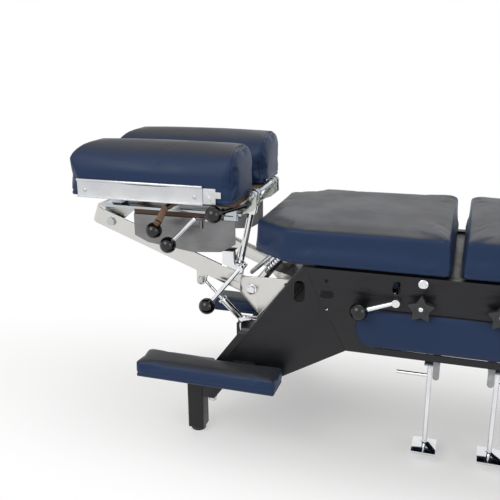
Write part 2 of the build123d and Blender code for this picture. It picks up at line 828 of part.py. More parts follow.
def head_pad():
    """The near head cushion: arched across, rounded over its head end, with a flat panel at its foot end."""
    z0 = pad_top + head_pad_bottom
    z1 = pad_top + head_pad_top
    whole = block(head_x0, head_x1, -head_pad_outer, -head_pad_inner, z0, z1)
    arch = fillet(whole.edges().filter_by(Axis.X).group_by(Axis.Z)[-1], head_pad_arch)
    top_ends = whole.edges().filter_by(Axis.Y).group_by(Axis.Z)[-1].sort_by(Axis.X)
    crown = fillet(top_ends[0], head_pad_crown)
    top_end = crown.edges().filter_by(Axis.Y).group_by(Axis.Z)[-1].sort_by(Axis.X)[-1]
    crown = fillet(top_end, head_pad_edge)
    plan = fillet(whole.edges().filter_by(Axis.Z).group_by(Axis.X)[0], head_pad_nose)
    plan = fillet(plan.edges().filter_by(Axis.Z).group_by(Axis.X)[-1], head_pad_corner)
    return arch & crown & plan


def ball_lever(hub, face, boss_r, hub_len, stud_len, knob, knob_y):
    """A lever in its plate: stud, boss and slanted rod, and the ball knob on the rod's end."""
    hx, hz = raised(hub)
    kx, kz = raised(knob)
    boss = cross_rod(hx, hz, boss_r, -face - hub_len, -face - 0.3)
    stud = cross_rod(hx, hz, stud_r, -face - 0.3, stud_len - face)
    bar = rod((hx, -face - hub_len + 6, hz), (kx, -knob_y, kz), rod_r)
    knob_shape = ball(kx, -knob_y, kz)
    return (boss + stud + bar) - knob_shape, knob_shape


def collar(knob, towards, y, y_towards):
    """The collar on a rod's end against its ball knob."""
    (kx, kz), (ax, az) = raised(knob), raised(towards)
    run = Vector(ax - kx, y - y_towards, az - kz).normalized()
    start = Vector(kx, -y, kz) + run * (ball_r - 4)
    end = start + run * (collar_len + 4)
    return rod(tuple(start), tuple(end), collar_r)


def drop_lever():
    """The drop lever: a flat strap outside the tray, its boss and stud, and the ball knob under it."""
    hx, hz = raised(drop_hub)
    kx, kz = raised(drop_knob)
    face = plate_out - plate_thick
    length = hypot(kx - hx, kz - hz)
    ux, uz = (kx - hx) / length, (kz - hz) / length
    half = strap_wide / 2
    reach = length - ball_r - collar_len / 2
    corners = []
    for along, across in ((0, -half), (0, half), (reach, half), (reach, -half)):
        corners.append((hx + along * ux + across * uz, hz + along * uz - across * ux))
    inner = -knob_out + strap_thick / 2
    strap = side_plate(corners, inner - strap_thick, inner)
    strap = strap + cross_rod(hx, hz, half, inner - strap_thick, inner)
    boss = cross_rod(hx, hz, 8, inner, -face - 0.3)
    stud = cross_rod(hx, hz, stud_r, -face - 0.3, 12 - face)
    knob = ball(kx, -knob_out, kz)
    return (strap + boss + stud + collar(drop_knob, drop_hub, knob_out, knob_out)) - knob, knob


def tilt_lever():
    """The tilt lever: a thick rod level with its knob, bent inwards at the elbow to a boss on the plank."""
    hx, hz = raised(tilt_hub)
    ex, ez = raised(tilt_elbow)
    kx, kz = raised(tilt_knob)
    boss = cross_rod(hx, hz, 8, -plate_out - 14, -plate_out - 0.3)
    stud = cross_rod(hx, hz, stud_r, -plate_out - 0.3, 12 - plate_out)
    neck = rod((hx, -plate_out - 9, hz), (ex, -knob_out, ez), rod_r * 0.7)
    length = hypot(ex - kx, ez - kz)
    ux, uz = (ex - kx) / length, (ez - kz) / length
    seat = ball_r - knob_bore
    end = (kx + seat * ux, -knob_out, kz + seat * uz)
    bar = rod((ex, -knob_out, ez), end, rod_r)
    elbow = Pos(ex, -knob_out, ez) * Sphere(rod_r * 1.15)
    place = Plane(origin=(kx, -knob_out, kz), z_dir=(ux, 0, uz))
    bore = Pos(0, 0, (seat + 2 * ball_r) / 2) * Cylinder(rod_r + bore_clear, 2 * ball_r - seat)
    knob = place * (Sphere(ball_r) - bore)
    return boss + stud + neck + bar + elbow, knob


def frame_bolts():
    """The large round bolt in the near rail and the hex bolts under the braces."""
    x = thoracic_x1 + star_x
    z = pad_top - 116
    large = cross_rod(x, z, 12, -rail_face - 6, -rail_face)
    large = fillet(large.faces().sort_by(Axis.Y)[0].edges(), 3)
    slot = block(x - 9, x + 9, -rail_face - 7, -rail_face - 4, z - 1.2, z + 1.2)
    slot = slot + block(x - 1.2, x + 1.2, -rail_face - 7, -rail_face - 4, z - 9, z + 9)
    bx = thoracic_x0 + head_leg_face + 22
    low = pad_top - brace_low_drop
    near = rod((bx, 19 - rail_inner, low - 3), (bx, 19 - rail_inner, low), 13)
    outline = Pos(bx, 19 - rail_inner, low - 14) * RegularPolygon(9.5, 6, major_radius=False)
    near = near + extrude(outline, amount=11)
    return Compound(children=[large - slot, near, mirrored(near)])


def star_knob(x):
    """A five-point star knob with a stem through the rail."""
    z = pad_top - star_drop
    points = []
    for i in range(10):
        reach = star_r if i % 2 == 0 else star_r * 0.56
        angle = radians(90 + 36 * i)
        points.append((x + reach * cos(angle), z + reach * sin(angle)))
    star = side_plate(points, -star_out, -star_out + star_thick)
    star = fillet(star.edges().filter_by(Axis.Y), 3)
    boss = cross_rod(x, z, 13, -star_out - 3, -rail_face - 0.3)
    stem = cross_rod(x, z, cam_shaft_r, -rail_face - 0.3, -rail_inner + 40)
    return star + boss + stem


def cam_lever(x, lean):
    """A cocking lever: rod and hub outside the rail, cross shaft and lifting arms inside."""
    z = pad_top - cam_drop
    shaft = cross_rod(x, z, cam_shaft_r, -lever_out, rail_face + 6)
    hub = cross_rod(x, z, lever_hub_r, -lever_out - 8, -rail_face - 0.3)
    knob_x = x + lean * lever_reach
    bar = rod((x, -lever_out, z), (knob_x, -lever_knob_out, z - lever_fall), rod_r)
    tip_x = x + lean * cam_arm * sin(radians(cam_lean))
    tip_z = z + cam_arm * cos(radians(cam_lean))
    lever = shaft + hub + bar
    for y in (-120, 100):
        arm = rod((x, y + 10, z), (tip_x, y + 10, tip_z), 7)
        roller = cross_rod(tip_x, tip_z, cam_roller, y, y + 20)
        lever = lever + arm + roller + cross_rod(x, z, 12, y, y + 20)
    return lever, (knob_x, z - lever_fall)


def pedal_rod(x, side):
    """A pedal's rod with its hand bar and foot plate."""
    low = pedal_rise
    z_bar = pad_top - handle_drop
    bar = rod((x, -pedal_y, low), (x, -pedal_y, pad_top - pedal_rod_top), pedal_rod_r)
    handle = rod((x, -pedal_y, z_bar), (x + side * handle_len, -pedal_y, z_bar), 4.5)
    foot = block(x - 30, x + 30, -pedal_y - 55, -pedal_y + 20, low - 6, low)
    return bar + handle + foot


def rod_guides():
    """The tabs that hang from the rail's lower flange and guide the pedal rods."""
    shapes = []
    top = rail_bottom
    for x, side in ((thoracic_x1 + pedal_x, 1), (thoracic_x1 + pelvic_pedal_x, -1)):
        tab_x = x + side * 17
        plate = block(tab_x - 8, tab_x + 8, flange - rail_inner - 4, flange - rail_inner, top - tab_len, top)
        plate = fillet(plate.edges().filter_by(Axis.Y).group_by(Axis.Z)[0], 7.9)
        x0, x1 = sorted((x - side * 12, tab_x + side * 8))
        shelf = block(x0, x1, flange - rail_inner, -pedal_y + 12, top - 24, top - 20)
        shelf = shelf - rod((x, -pedal_y, top - 30), (x, -pedal_y, top), pedal_rod_r + 0.1)
        shapes.append(plate + shelf)
    return Compound(children=shapes)


def armrest_pad(drop):
    """The near armrest's pad: wider at the head end, narrower beside the gusset."""
    z1 = pad_top - armrest_top_drop - drop
    x0 = thoracic_x0 + armrest_head
    x1 = thoracic_x0 + armrest_foot
    step = thoracic_x0 + armrest_step
    plan = [
        (x0, -armrest_outer),
        (x1, -armrest_outer),
        (x1, -armrest_inner),
        (step, -armrest_inner),
        (step, -armrest_wide_inner),
        (x0, -armrest_wide_inner),
    ]
    outline = make_face(Polyline(*plan, close=True))
    body = Pos(0, 0, z1 - armrest_thick) * extrude(outline, amount=armrest_thick)
    corners = body.edges().filter_by(Axis.Z).group_by(Axis.X)[0]
    body = fillet(corners, armrest_corner)
    return body


def armrest_bracket(drop):
    """The near armrest's bracket: a plate on the gusset and a shelf under the pad."""
    top = pad_top - armrest_top_drop - drop - armrest_thick
    x0 = thoracic_x0 - 40
    x1 = thoracic_x0 + 20
    wall = block(x0, x1, -armrest_inner + 2, -rail_face - 0.3, top - 6, top + 40)
    across = armrest_outer - armrest_inner
    reach = armrest_inner + 0.55 * across
    shelf = block(x0, x1, -reach, -rail_face - 0.3, top - 6, top)
    rib = block(x0 - 160, x1 + 60, -reach, -armrest_inner - 0.1 * across, top - 6, top)
    return wall + shelf + rib


def paper_bar():
    """The paper holder: a pressed bar with a rolled top edge on the near cushion."""
    x0 = thoracic_x0 - 473
    x1 = thoracic_x0 - 120
    z0 = pad_top + 31
    z1 = pad_top + 77
    y = -head_pad_outer - 0.3
    plate = block(x0, x1, y - 2.5, y, z0, z1)
    roll = rod((x0, y - 4, z1), (x1, y - 4, z1), 3.5)
    lip = block(x0, x1, y - 7, y - 2, z0, z0 + 2.5)
    return plate + roll + lip


def paper_clip():
    """The paper holder's end bracket with its tab and screws."""
    x0 = thoracic_x0 - 119
    y = -head_pad_outer - 0.3
    plate = block(x0, x0 + 33, y - 2.5, y, pad_top + 34, pad_top + 74)
    tab = block(x0 + 33, x0 + 47, y - 2.5, y, pad_top + 50, pad_top + 66)
    screw = cross_rod(x0 + 17, pad_top + 48, 5, y - 5, y - 2.5)
    return plate + tab + screw


def build():
    """Builds and writes every node."""
    gx = thoracic_x1
    rail = side_rail()
    near_rail = rail
    for hole in near_holes():
        near_rail = near_rail - hole
    save("side_rail_near", near_rail)
    save("side_rail_far", mirrored(rail))
    for name, shape in (("gusset", gusset()), ("brace", brace()), ("side_bolster", side_bolster())):
        save(f"{name}_near", shape)
        save(f"{name}_far", mirrored(shape))
    save("front_plate", front_plate())
    head_leg = leg(thoracic_x0 + head_leg_face - leg_tube, pad_top - head_leg_drop)
    save("head_legs", Compound(children=[head_leg, mirrored(head_leg)]))
    save("foot_leg_frame", foot_leg_frame())
    save("leg_glides", glides())
    save("cross_channels", cross_channels())
    save("thoracic_pad", thoracic_pad())
    save("pelvic_pad", plain_pad(pelvic_x0, pelvic_x1))
    save("foot_pad", plain_pad(foot_x0, foot_x1))
    save("thoracic_board", board(thoracic_x0 + nose_board_inset, thoracic_x1, gx + thoracic_pin_x))
    save("pelvic_board", board(pelvic_x0, pelvic_x1, pelvic_x1 - pelvic_pin_inset))
    save("foot_board", board(foot_x0, foot_x1, None))
    pin_z = pad_top - hinge_pin_drop
    pins = [
        cross_rod(x, pin_z, hinge_pin_r, -rail_inner, rail_inner)
        for x in (gx + thoracic_pin_x, pelvic_x1 - pelvic_pin_inset)
    ]
    save("pad_hinge_pins", Compound(children=pins))
    save("head_arm", head_arm())
    save("arm_bolts", arm_bolts())
    save("link_sleeve", sleeve())
    save("link_rod", link())
    save("pivot_brackets", Compound(children=[bracket(), mirrored(bracket())]))
    save("pivot_bolt", pivot_bolt())
    save("buffer_rods", buffer())
    save("strut_clevis", clevis())
    save("strut_cylinder", strut_tube_shape())
    save("strut_rod", strut_rod_shape())
    save("headpiece_tray", tray())
    save("tilt_plates", tilt_plates())
    save("head_planks", planks())
    save("drop_hinge", drop_hinge())
    save("head_board", head_board())
    save("head_pad_near", head_pad())
    save("head_pad_far", mirrored(head_pad()))
    save("thoracic_star_knob", star_knob(gx + star_x))
    save("pelvic_star_knob", star_knob(gx + pelvic_star_x))
    for name, x, lean in (("thoracic", gx + cam_x, -1), ("pelvic", gx + pelvic_cam_x, 1)):
        lever, knob = cam_lever(x, lean)
        cut = ball(knob[0], -lever_knob_out, knob[1])
        save(f"{name}_cam_lever", lever - cut)
        save(f"{name}_lever_ball", cut)
    save("thoracic_pedal_rod", pedal_rod(gx + pedal_x, -1))
    save("pelvic_pedal_rod", pedal_rod(gx + pelvic_pedal_x, 1))
    save("rod_guides", rod_guides())
    for side, drop in (("near", 0.0), ("far", far_armrest_lower)):
        shapes = (armrest_pad(drop), armrest_bracket(drop))
        if side == "far":
            shapes = (mirrored(shapes[0]), mirrored(shapes[1]))
        save(f"armrest_pad_{side}", shapes[0])
        save(f"armrest_bracket_{side}", shapes[1])
    levers = (
        ("lock", ball_lever(lock_hub, lock_face, 10, 22, 6, lock_knob, knob_out)),
        ("drop", drop_lever()),
        ("tilt", tilt_lever()),
    )
    for name, shapes in levers:
        save(f"{name}_lever", shapes[0])
        save(f"{name}_lever_ball", shapes[1])
    lever, knob = ball_lever(tension_hub, link_y + 15, 8, 12, 5, tension_knob, tension_out)
    save("tension_knob", lever + knob + collar(tension_knob, tension_hub, tension_out, link_y + 21))
    save("frame_bolts", frame_bolts())
    save("paper_bar", paper_bar())
    save("paper_clip", paper_clip())


build()
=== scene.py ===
"""Finishes, cushions and small fittings of a chiropractic table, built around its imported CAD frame."""

import json
import logging
import math
from dataclasses import dataclass, field
from enum import Enum

import bmesh
import bpy
import numpy as np
from mathutils import Matrix, Vector

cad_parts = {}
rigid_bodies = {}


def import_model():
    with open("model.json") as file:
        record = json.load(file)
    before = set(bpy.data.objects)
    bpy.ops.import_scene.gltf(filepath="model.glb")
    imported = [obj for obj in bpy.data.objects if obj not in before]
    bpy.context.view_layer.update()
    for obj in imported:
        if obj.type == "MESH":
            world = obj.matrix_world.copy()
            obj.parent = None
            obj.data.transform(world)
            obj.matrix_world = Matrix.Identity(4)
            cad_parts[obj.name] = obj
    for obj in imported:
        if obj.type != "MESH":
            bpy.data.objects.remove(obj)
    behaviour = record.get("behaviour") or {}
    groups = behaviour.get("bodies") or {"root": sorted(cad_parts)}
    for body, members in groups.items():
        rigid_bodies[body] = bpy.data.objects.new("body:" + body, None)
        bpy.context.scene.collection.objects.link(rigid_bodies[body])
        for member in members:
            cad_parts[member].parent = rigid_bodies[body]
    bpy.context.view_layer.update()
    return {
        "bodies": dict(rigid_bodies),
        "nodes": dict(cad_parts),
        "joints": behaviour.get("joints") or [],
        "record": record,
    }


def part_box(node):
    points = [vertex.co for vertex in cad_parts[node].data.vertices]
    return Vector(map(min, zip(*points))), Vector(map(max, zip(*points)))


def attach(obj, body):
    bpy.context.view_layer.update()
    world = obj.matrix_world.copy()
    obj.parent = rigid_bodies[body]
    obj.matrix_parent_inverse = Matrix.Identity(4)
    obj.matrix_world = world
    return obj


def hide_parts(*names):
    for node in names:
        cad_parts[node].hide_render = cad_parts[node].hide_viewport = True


LOG = logging.getLogger("table")
Colour = tuple[float, float, float]
Point2 = tuple[float, float]
Point3 = tuple[float, float, float]
Socket = bpy.types.NodeSocket
MERGE = 2e-6
FLAT_ANGLE = math.radians(0.6)
EDGE_ANGLE = math.radians(38)


class Side(Enum):
    """The side of the table's mid-plane on which a piece stands."""

    NEAR = -1
    FAR = 1


class Grain(Enum):
    """The direction in which a brushed or wooden surface runs."""

    ALONG_X = (1.0, 40.0, 40.0)
    ALONG_Z = (40.0, 40.0, 1.0)


class Shader:
    """A material under construction, with short calls for the nodes that the finishes share."""

    def __init__(self, name: str) -> None:
        """Starts an empty material with a Principled shader.

        Args:
            name: The material's name.
        """
        self.material = bpy.data.materials.new(name)
        self.material.use_nodes = True
        self.tree = self.material.node_tree
        self.bsdf = self.tree.nodes["Principled BSDF"]
        self.coordinates = self.tree.nodes.new("ShaderNodeTexCoord")

    def set(self, **values: float | Colour) -> None:
        """Sets sockets of the Principled shader.

        Args:
            values: Socket names with underscores for spaces, and their values.
        """
        for key, value in values.items():
            socket = self.bsdf.inputs[key.replace("_", " ")]
            socket.default_value = (*value, 1.0) if isinstance(value, tuple) else value

    def link(self, source: Socket, target: Socket) -> None:
        """Joins two sockets."""
        self.tree.links.new(source, target)

    def place(self, stretch: Point3 = (1.0, 1.0, 1.0)) -> Socket:
        """Object coordinates, stretched along the axes.

        Args:
            stretch: The pattern's scale along X, Y and Z.

        Returns:
            The stretched coordinates.
        """
        mapping = self.tree.nodes.new("ShaderNodeMapping")
        mapping.inputs["Scale"].default_value = stretch
        self.link(self.coordinates.outputs["Object"], mapping.inputs["Vector"])
        return mapping.outputs["Vector"]

    def noise(self, scale: float, detail: float = 3.0, place: Socket | None = None) -> Socket:
        """Noise from 0 to 1.

        Args:
            scale: Features per metre.
            detail: The number of octaves.
            place: The coordinates, or None for plain object coordinates.

        Returns:
            The noise value.
        """
        node = self.tree.nodes.new("ShaderNodeTexNoise")
        node.inputs["Scale"].default_value = scale
        node.inputs["Detail"].default_value = detail
        self.link(place or self.place(), node.inputs["Vector"])
        return node.outputs["Fac"]

    def cells(self, scale: float) -> Socket:
        """The distance to the nearest of scattered points, as leather grain has.

        Args:
            scale: Cells per metre.

        Returns:
            The distance.
        """
        node = self.tree.nodes.new("ShaderNodeTexVoronoi")
        node.feature = "DISTANCE_TO_EDGE"
        node.inputs["Scale"].default_value = scale
        self.link(self.place(), node.inputs["Vector"])
        return node.outputs["Distance"]

    def span(self, value: Socket, low: float, high: float, start: float, end: float) -> Socket:
        """Maps one range of a value smoothly onto another.

        Args:
            value: The value.
            low: The value that gives start.
            high: The value that gives end.
            start: The result at low.
            end: The result at high.

        Returns:
            The mapped value.
        """
        node = self.tree.nodes.new("ShaderNodeMapRange")
        node.interpolation_type = "SMOOTHSTEP"
        for key, number in zip(("From Min", "From Max", "To Min", "To Max"), (low, high, start, end)):
            node.inputs[key].default_value = number
        self.link(value, node.inputs["Value"])
        return node.outputs["Result"]

    def upward(self) -> Socket:
        """How far the surface faces up.

        Returns:
            A value from -1 to 1.
        """
        split = self.tree.nodes.new("ShaderNodeSeparateXYZ")
        self.link(self.coordinates.outputs["Normal"], split.inputs["Vector"])
        return split.outputs["Z"]

    def blend(self, factor: Socket, first: Colour | Socket, second: Colour | Socket) -> Socket:
        """Mixes two colours.

        Args:
            factor: 0 for the first colour, 1 for the second.
            first: A colour, or a socket that gives one.
            second: A colour, or a socket that gives one.

        Returns:
            The mixed colour.
        """
        node = self.tree.nodes.new("ShaderNodeMix")
        node.data_type = "RGBA"
        self.link(factor, node.inputs["Factor"])
        for socket, value in ((node.inputs[6], first), (node.inputs[7], second)):
            if isinstance(value, tuple):
                socket.default_value = (*value, 1.0)
            else:
                self.link(value, socket)
        return node.outputs[2]

    def sum(self, first: Socket, second: Socket, weight: float) -> Socket:
        """Adds a weighted value to another.

        Args:
            first: The first value.
            second: The value that is weighted.
            weight: Its weight.

        Returns:
            The sum.
        """
        node = self.tree.nodes.new("ShaderNodeMath")
        node.operation = "MULTIPLY_ADD"
        node.inputs[1].default_value = weight
        self.link(second, node.inputs[0])
        self.link(first, node.inputs[2])
        return node.outputs["Value"]

    def bump(self, height: Socket, depth: float, strength: float = 1.0) -> None:
        """Roughens the surface.

        Args:
            height: The height pattern.
            depth: The height of 1, in metres.
            strength: How much of it shows.
        """
        node = self.tree.nodes.new("ShaderNodeBump")
        node.inputs["Distance"].default_value = depth
        node.inputs["Strength"].default_value = strength
        self.link(height, node.inputs["Height"])
        self.link(node.outputs["Normal"], self.bsdf.inputs["Normal"])


@dataclass(frozen=True)
class Vinyl:
    """Grained upholstery vinyl: navy on its sides, with a painted sheen that makes it greyer where it faces
    up.
    """

    name: str = "navy_vinyl"
    side: Colour = (0.010, 0.028, 0.079)
    # top: the greyer colour of the painted sheen where the vinyl faces up.
    top: Colour = (0.030, 0.031, 0.035)
    roughness: float = 0.42
    sheen_painted_from: float = 0.55
    sheen_painted_full: float = 0.97
    mottle: float = 0.22
    mottle_shade: float = 0.78
    cells_per_metre: float = 620.0
    cell_weight: float = 0.35
    grain_depth: float = 0.0006
    grain_strength: float = 0.35

    def material(self) -> bpy.types.Material:
        """Makes the material.

        Returns:
            The finished material.
        """
        shader = Shader(self.name)
        # Painted sheen: the colour turns from the side colour to the greyer top colour as the surface faces
        # up.
        facing = shader.span(shader.upward(), self.sheen_painted_from, self.sheen_painted_full, 0.0, 1.0)
        cloud = shader.noise(5.0, 4.0)
        shade = shader.blend(facing, self.side, self.top)
        darker = tuple(self.mottle_shade * c for c in self.side)
        mottled = shader.blend(shader.span(cloud, 0.35, 0.7, 0.0, self.mottle), shade, darker)
        shader.link(mottled, shader.bsdf.inputs["Base Color"])
        rough = shader.span(shader.noise(9.0, 3.0), 0.3, 0.7, self.roughness - 0.05, self.roughness + 0.07)
        shader.link(rough, shader.bsdf.inputs["Roughness"])
        shader.set(Sheen_Weight=0.03, Sheen_Roughness=0.5, Specular_IOR_Level=0.24)
        grain = shader.sum(shader.noise(14.0, 2.0), shader.cells(self.cells_per_metre), self.cell_weight)
        shader.bump(grain, self.grain_depth, self.grain_strength)
        return shader.material


@dataclass(frozen=True)
class SatinPaint:
    """Powder coat with a faint orange peel."""

    name: str = "black_powder_coat"
    colour: Colour = (0.0065, 0.0068, 0.0090)
    worn: Colour = (0.0120, 0.0120, 0.0135)
    roughness: float = 0.36
    worn_share: float = 0.7
    peel_per_metre: float = 700.0
    peel_depth: float = 0.0002

    def material(self) -> bpy.types.Material:
        """Makes the material.

        Returns:
            The finished material.
        """
        shader = Shader(self.name)
        cloud = shader.noise(7.0, 5.0)
        shade = shader.blend(shader.span(cloud, 0.4, 0.75, 0.0, self.worn_share), self.colour, self.worn)
        shader.link(shade, shader.bsdf.inputs["Base Color"])
        rough = shader.span(shader.noise(30.0, 3.0), 0.3, 0.7, self.roughness - 0.05, self.roughness + 0.08)
        shader.link(rough, shader.bsdf.inputs["Roughness"])
        shader.set(Specular_IOR_Level=0.38)
        shader.bump(shader.noise(self.peel_per_metre, 2.0), self.peel_depth, 0.5)
        return shader.material


@dataclass(frozen=True)
class BrightMetal:
    """Plated or brushed metal: how dark, how rough, and how its marks run."""

    name: str
    colour: Colour
    tint: Colour
    roughness: float
    marks: Grain
    mark_depth: float

    def material(self) -> bpy.types.Material:
        """Makes the material.

        Returns:
            The finished material.
        """
        shader = Shader(self.name)
        cloud = shader.noise(16.0, 5.0)
        shade = shader.blend(shader.span(cloud, 0.35, 0.7, 0.0, 1.0), self.colour, self.tint)
        shader.link(shade, shader.bsdf.inputs["Base Color"])
        streaks = shader.noise(22.0, 4.0, shader.place(self.marks.value))
        spread = 0.35 * self.roughness
        rough = shader.span(streaks, 0.25, 0.75, self.roughness - spread, self.roughness + spread)
        shader.link(rough, shader.bsdf.inputs["Roughness"])
        shader.set(Metallic=1.0)
        shader.bump(streaks, self.mark_depth, 0.4)
        return shader.material


@dataclass(frozen=True)
class StainedPly:
    """Stained plywood with grain along the table."""

    name: str = "stained_plywood"
    light: Colour = (0.155, 0.078, 0.042)
    dark: Colour = (0.060, 0.028, 0.016)

    def material(self) -> bpy.types.Material:
        """Makes the material.

        Returns:
            The finished material.
        """
        shader = Shader(self.name)
        figure = shader.noise(9.0, 6.0, shader.place((0.6, 8.0, 22.0)))
        fine = shader.noise(60.0, 4.0, shader.place((0.5, 8.0, 8.0)))
        grain = shader.sum(figure, fine, 0.35)
        shade = shader.blend(shader.span(grain, 0.4, 0.95, 0.0, 1.0), self.light, self.dark)
        shader.link(shade, shader.bsdf.inputs["Base Color"])
        shader.set(Roughness=0.55)
        shader.bump(grain, 0.0004, 0.5)
        return shader.material


@dataclass(frozen=True)
class Moulding:
    """Moulded black plastic or rubber."""

    name: str
    colour: Colour
    roughness: float
    texture: float

    def material(self) -> bpy.types.Material:
        """Makes the material.

        Returns:
            The finished material.
        """
        shader = Shader(self.name)
        cloud = shader.noise(60.0, 4.0)
        paler = tuple(1.7 * c for c in self.colour)
        shade = shader.blend(shader.span(cloud, 0.45, 0.75, 0.0, 0.6), self.colour, paler)
        shader.link(shade, shader.bsdf.inputs["Base Color"])
        rough = shader.span(cloud, 0.3, 0.7, 0.85 * self.roughness, 1.2 * self.roughness)
        shader.link(rough, shader.bsdf.inputs["Roughness"])
        shader.bump(shader.noise(900.0, 2.0), self.texture, 0.5)
        return shader.material


@dataclass
class Finishes:
    """Every finish of the table, made once."""

    vinyl: bpy.types.Material = field(default_factory=lambda: Vinyl().material())
    paint: bpy.types.Material = field(default_factory=lambda: SatinPaint().material())
    polished: bpy.types.Material = field(
        default_factory=lambda: BrightMetal(
            "polished_steel", (0.66, 0.645, 0.62), (0.63, 0.62, 0.60), 0.20, Grain.ALONG_X, 0.00001
        ).material()
    )
    chrome: bpy.types.Material = field(
        default_factory=lambda: BrightMetal(
            "chrome_plate", (0.78, 0.79, 0.80), (0.70, 0.71, 0.73), 0.09, Grain.ALONG_Z, 0.00001
        ).material()
    )
    zinc: bpy.types.Material = field(
        default_factory=lambda: BrightMetal(
            "zinc_plate", (0.50, 0.56, 0.62), (0.50, 0.50, 0.44), 0.28, Grain.ALONG_X, 0.00004
        ).material()
    )
    brushed: bpy.types.Material = field(
        default_factory=lambda: BrightMetal(
            "brushed_plate", (0.235, 0.235, 0.24), (0.19, 0.19, 0.195), 0.38, Grain.ALONG_X, 0.00006
        ).material()
    )
    pressed: bpy.types.Material = field(
        default_factory=lambda: BrightMetal(
            "pressed_aluminium", (0.64, 0.65, 0.66), (0.58, 0.59, 0.61), 0.33, Grain.ALONG_X, 0.00004
        ).material()
    )
    bronzed: bpy.types.Material = field(
        default_factory=lambda: BrightMetal(
            "bronzed_strap", (0.17, 0.108, 0.070), (0.12, 0.074, 0.048), 0.36, Grain.ALONG_Z, 0.00003
        ).material()
    )
    wood: bpy.types.Material = field(default_factory=lambda: StainedPly().material())
    gloss: bpy.types.Material = field(
        default_factory=lambda: Moulding("gloss_moulding", (0.0025, 0.0025, 0.003), 0.13, 0.00002).material()
    )
    matte: bpy.types.Material = field(
        default_factory=lambda: Moulding("matte_moulding", (0.020, 0.020, 0.022), 0.50, 0.00010).material()
    )
    grey: bpy.types.Material = field(
        default_factory=lambda: Moulding("grey_cap", (0.30, 0.31, 0.32), 0.45, 0.00008).material()
    )


@dataclass
class Workshop:
    """What every sub-assembly needs: the frame's nodes and bodies, and the finishes."""

    nodes: dict[str, bpy.types.Object]
    bodies: dict[str, list[str]]
    finishes: Finishes

    def body_of(self, node: str) -> str:
        """The body that a CAD node belongs to."""
        return next(body for body, members in self.bodies.items() if node in members)

    def add(
        self, name: str, shape: bmesh.types.BMesh, finish: bpy.types.Material, sharp: float = 35.0
    ) -> bpy.types.Object:
        """Turns a mesh under construction into an object.

        Args:
            name: The object's name.
            shape: The mesh, which is used up.
            finish: Its material.
            sharp: The angle in degrees over which an edge stays sharp.

        Returns:
            The new object.
        """
        mesh = bpy.data.meshes.new(name)
        shape.to_mesh(mesh)
        shape.free()
        mesh.materials.append(finish)
        mesh.shade_smooth()
        mesh.set_sharp_from_angle(angle=math.radians(sharp))
        piece = bpy.data.objects.new(name, mesh)
        bpy.context.scene.collection.objects.link(piece)
        return piece

    def bake(self, piece: bpy.types.Object, sharp: float = 35.0) -> None:
        """Applies an object's modifiers.

        Args:
            piece: The object.
            sharp: The angle in degrees over which an edge stays sharp.
        """
        bpy.context.view_layer.update()
        evaluated = piece.evaluated_get(bpy.context.evaluated_depsgraph_get())
        mesh = bpy.data.meshes.new_from_object(evaluated)
        piece.modifiers.clear()
        piece.data = mesh
        mesh.shade_smooth()
        mesh.set_sharp_from_angle(angle=math.radians(sharp))

    def settle(self, piece: bpy.types.Object, body: str, slot: str, *nodes: str) -> bpy.types.Object:
        """Lets a piece ride on its body and stand for CAD nodes.

        Args:
            piece: The finished piece.
            body: The body it moves with.
            slot: The record's slot; not used.
            nodes: The CAD nodes it stands for.

        Returns:
            The same piece.
        """
        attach(piece, body)
        if nodes:
            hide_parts(*nodes)
        LOG.info("%s on %s, %d faces", piece.name, body, len(piece.data.polygons))
        return piece

    def dress(
        self, node: str, finish: bpy.types.Material, slot: str, edge: float = 0.0006, segments: int = 2
    ) -> bpy.types.Object:
        """Gives a rigid CAD node softened edges and its finish.

        Args:
            node: The CAD node.
            finish: Its material.
            slot: The record's material slot.
            edge: The edges' radius in metres.
            segments: The facets of that radius.

        Returns:
            The piece that stands for the node.
        """
        shape = bmesh.new()
        shape.from_mesh(self.nodes[node].data)
        bmesh.ops.remove_doubles(shape, verts=shape.verts, dist=MERGE)
        bmesh.ops.dissolve_limit(
            shape,
            angle_limit=FLAT_ANGLE,
            verts=shape.verts,
            edges=shape.edges,
            use_dissolve_boundaries=False,
        )
        piece = self.add(f"{node}_look", shape, finish)
        bevel = piece.modifiers.new("edge", "BEVEL")
        bevel.limit_method = "ANGLE"
        bevel.angle_limit = EDGE_ANGLE
        bevel.width = edge
        bevel.segments = segments
        bevel.use_clamp_overlap = True
        self.bake(piece)
        return self.settle(piece, self.body_of(node), slot, node)


class Backing(Enum):
    """Where a cushion's board lies, which holds its cover."""

    BELOW = "below"
    INSIDE = "inside"


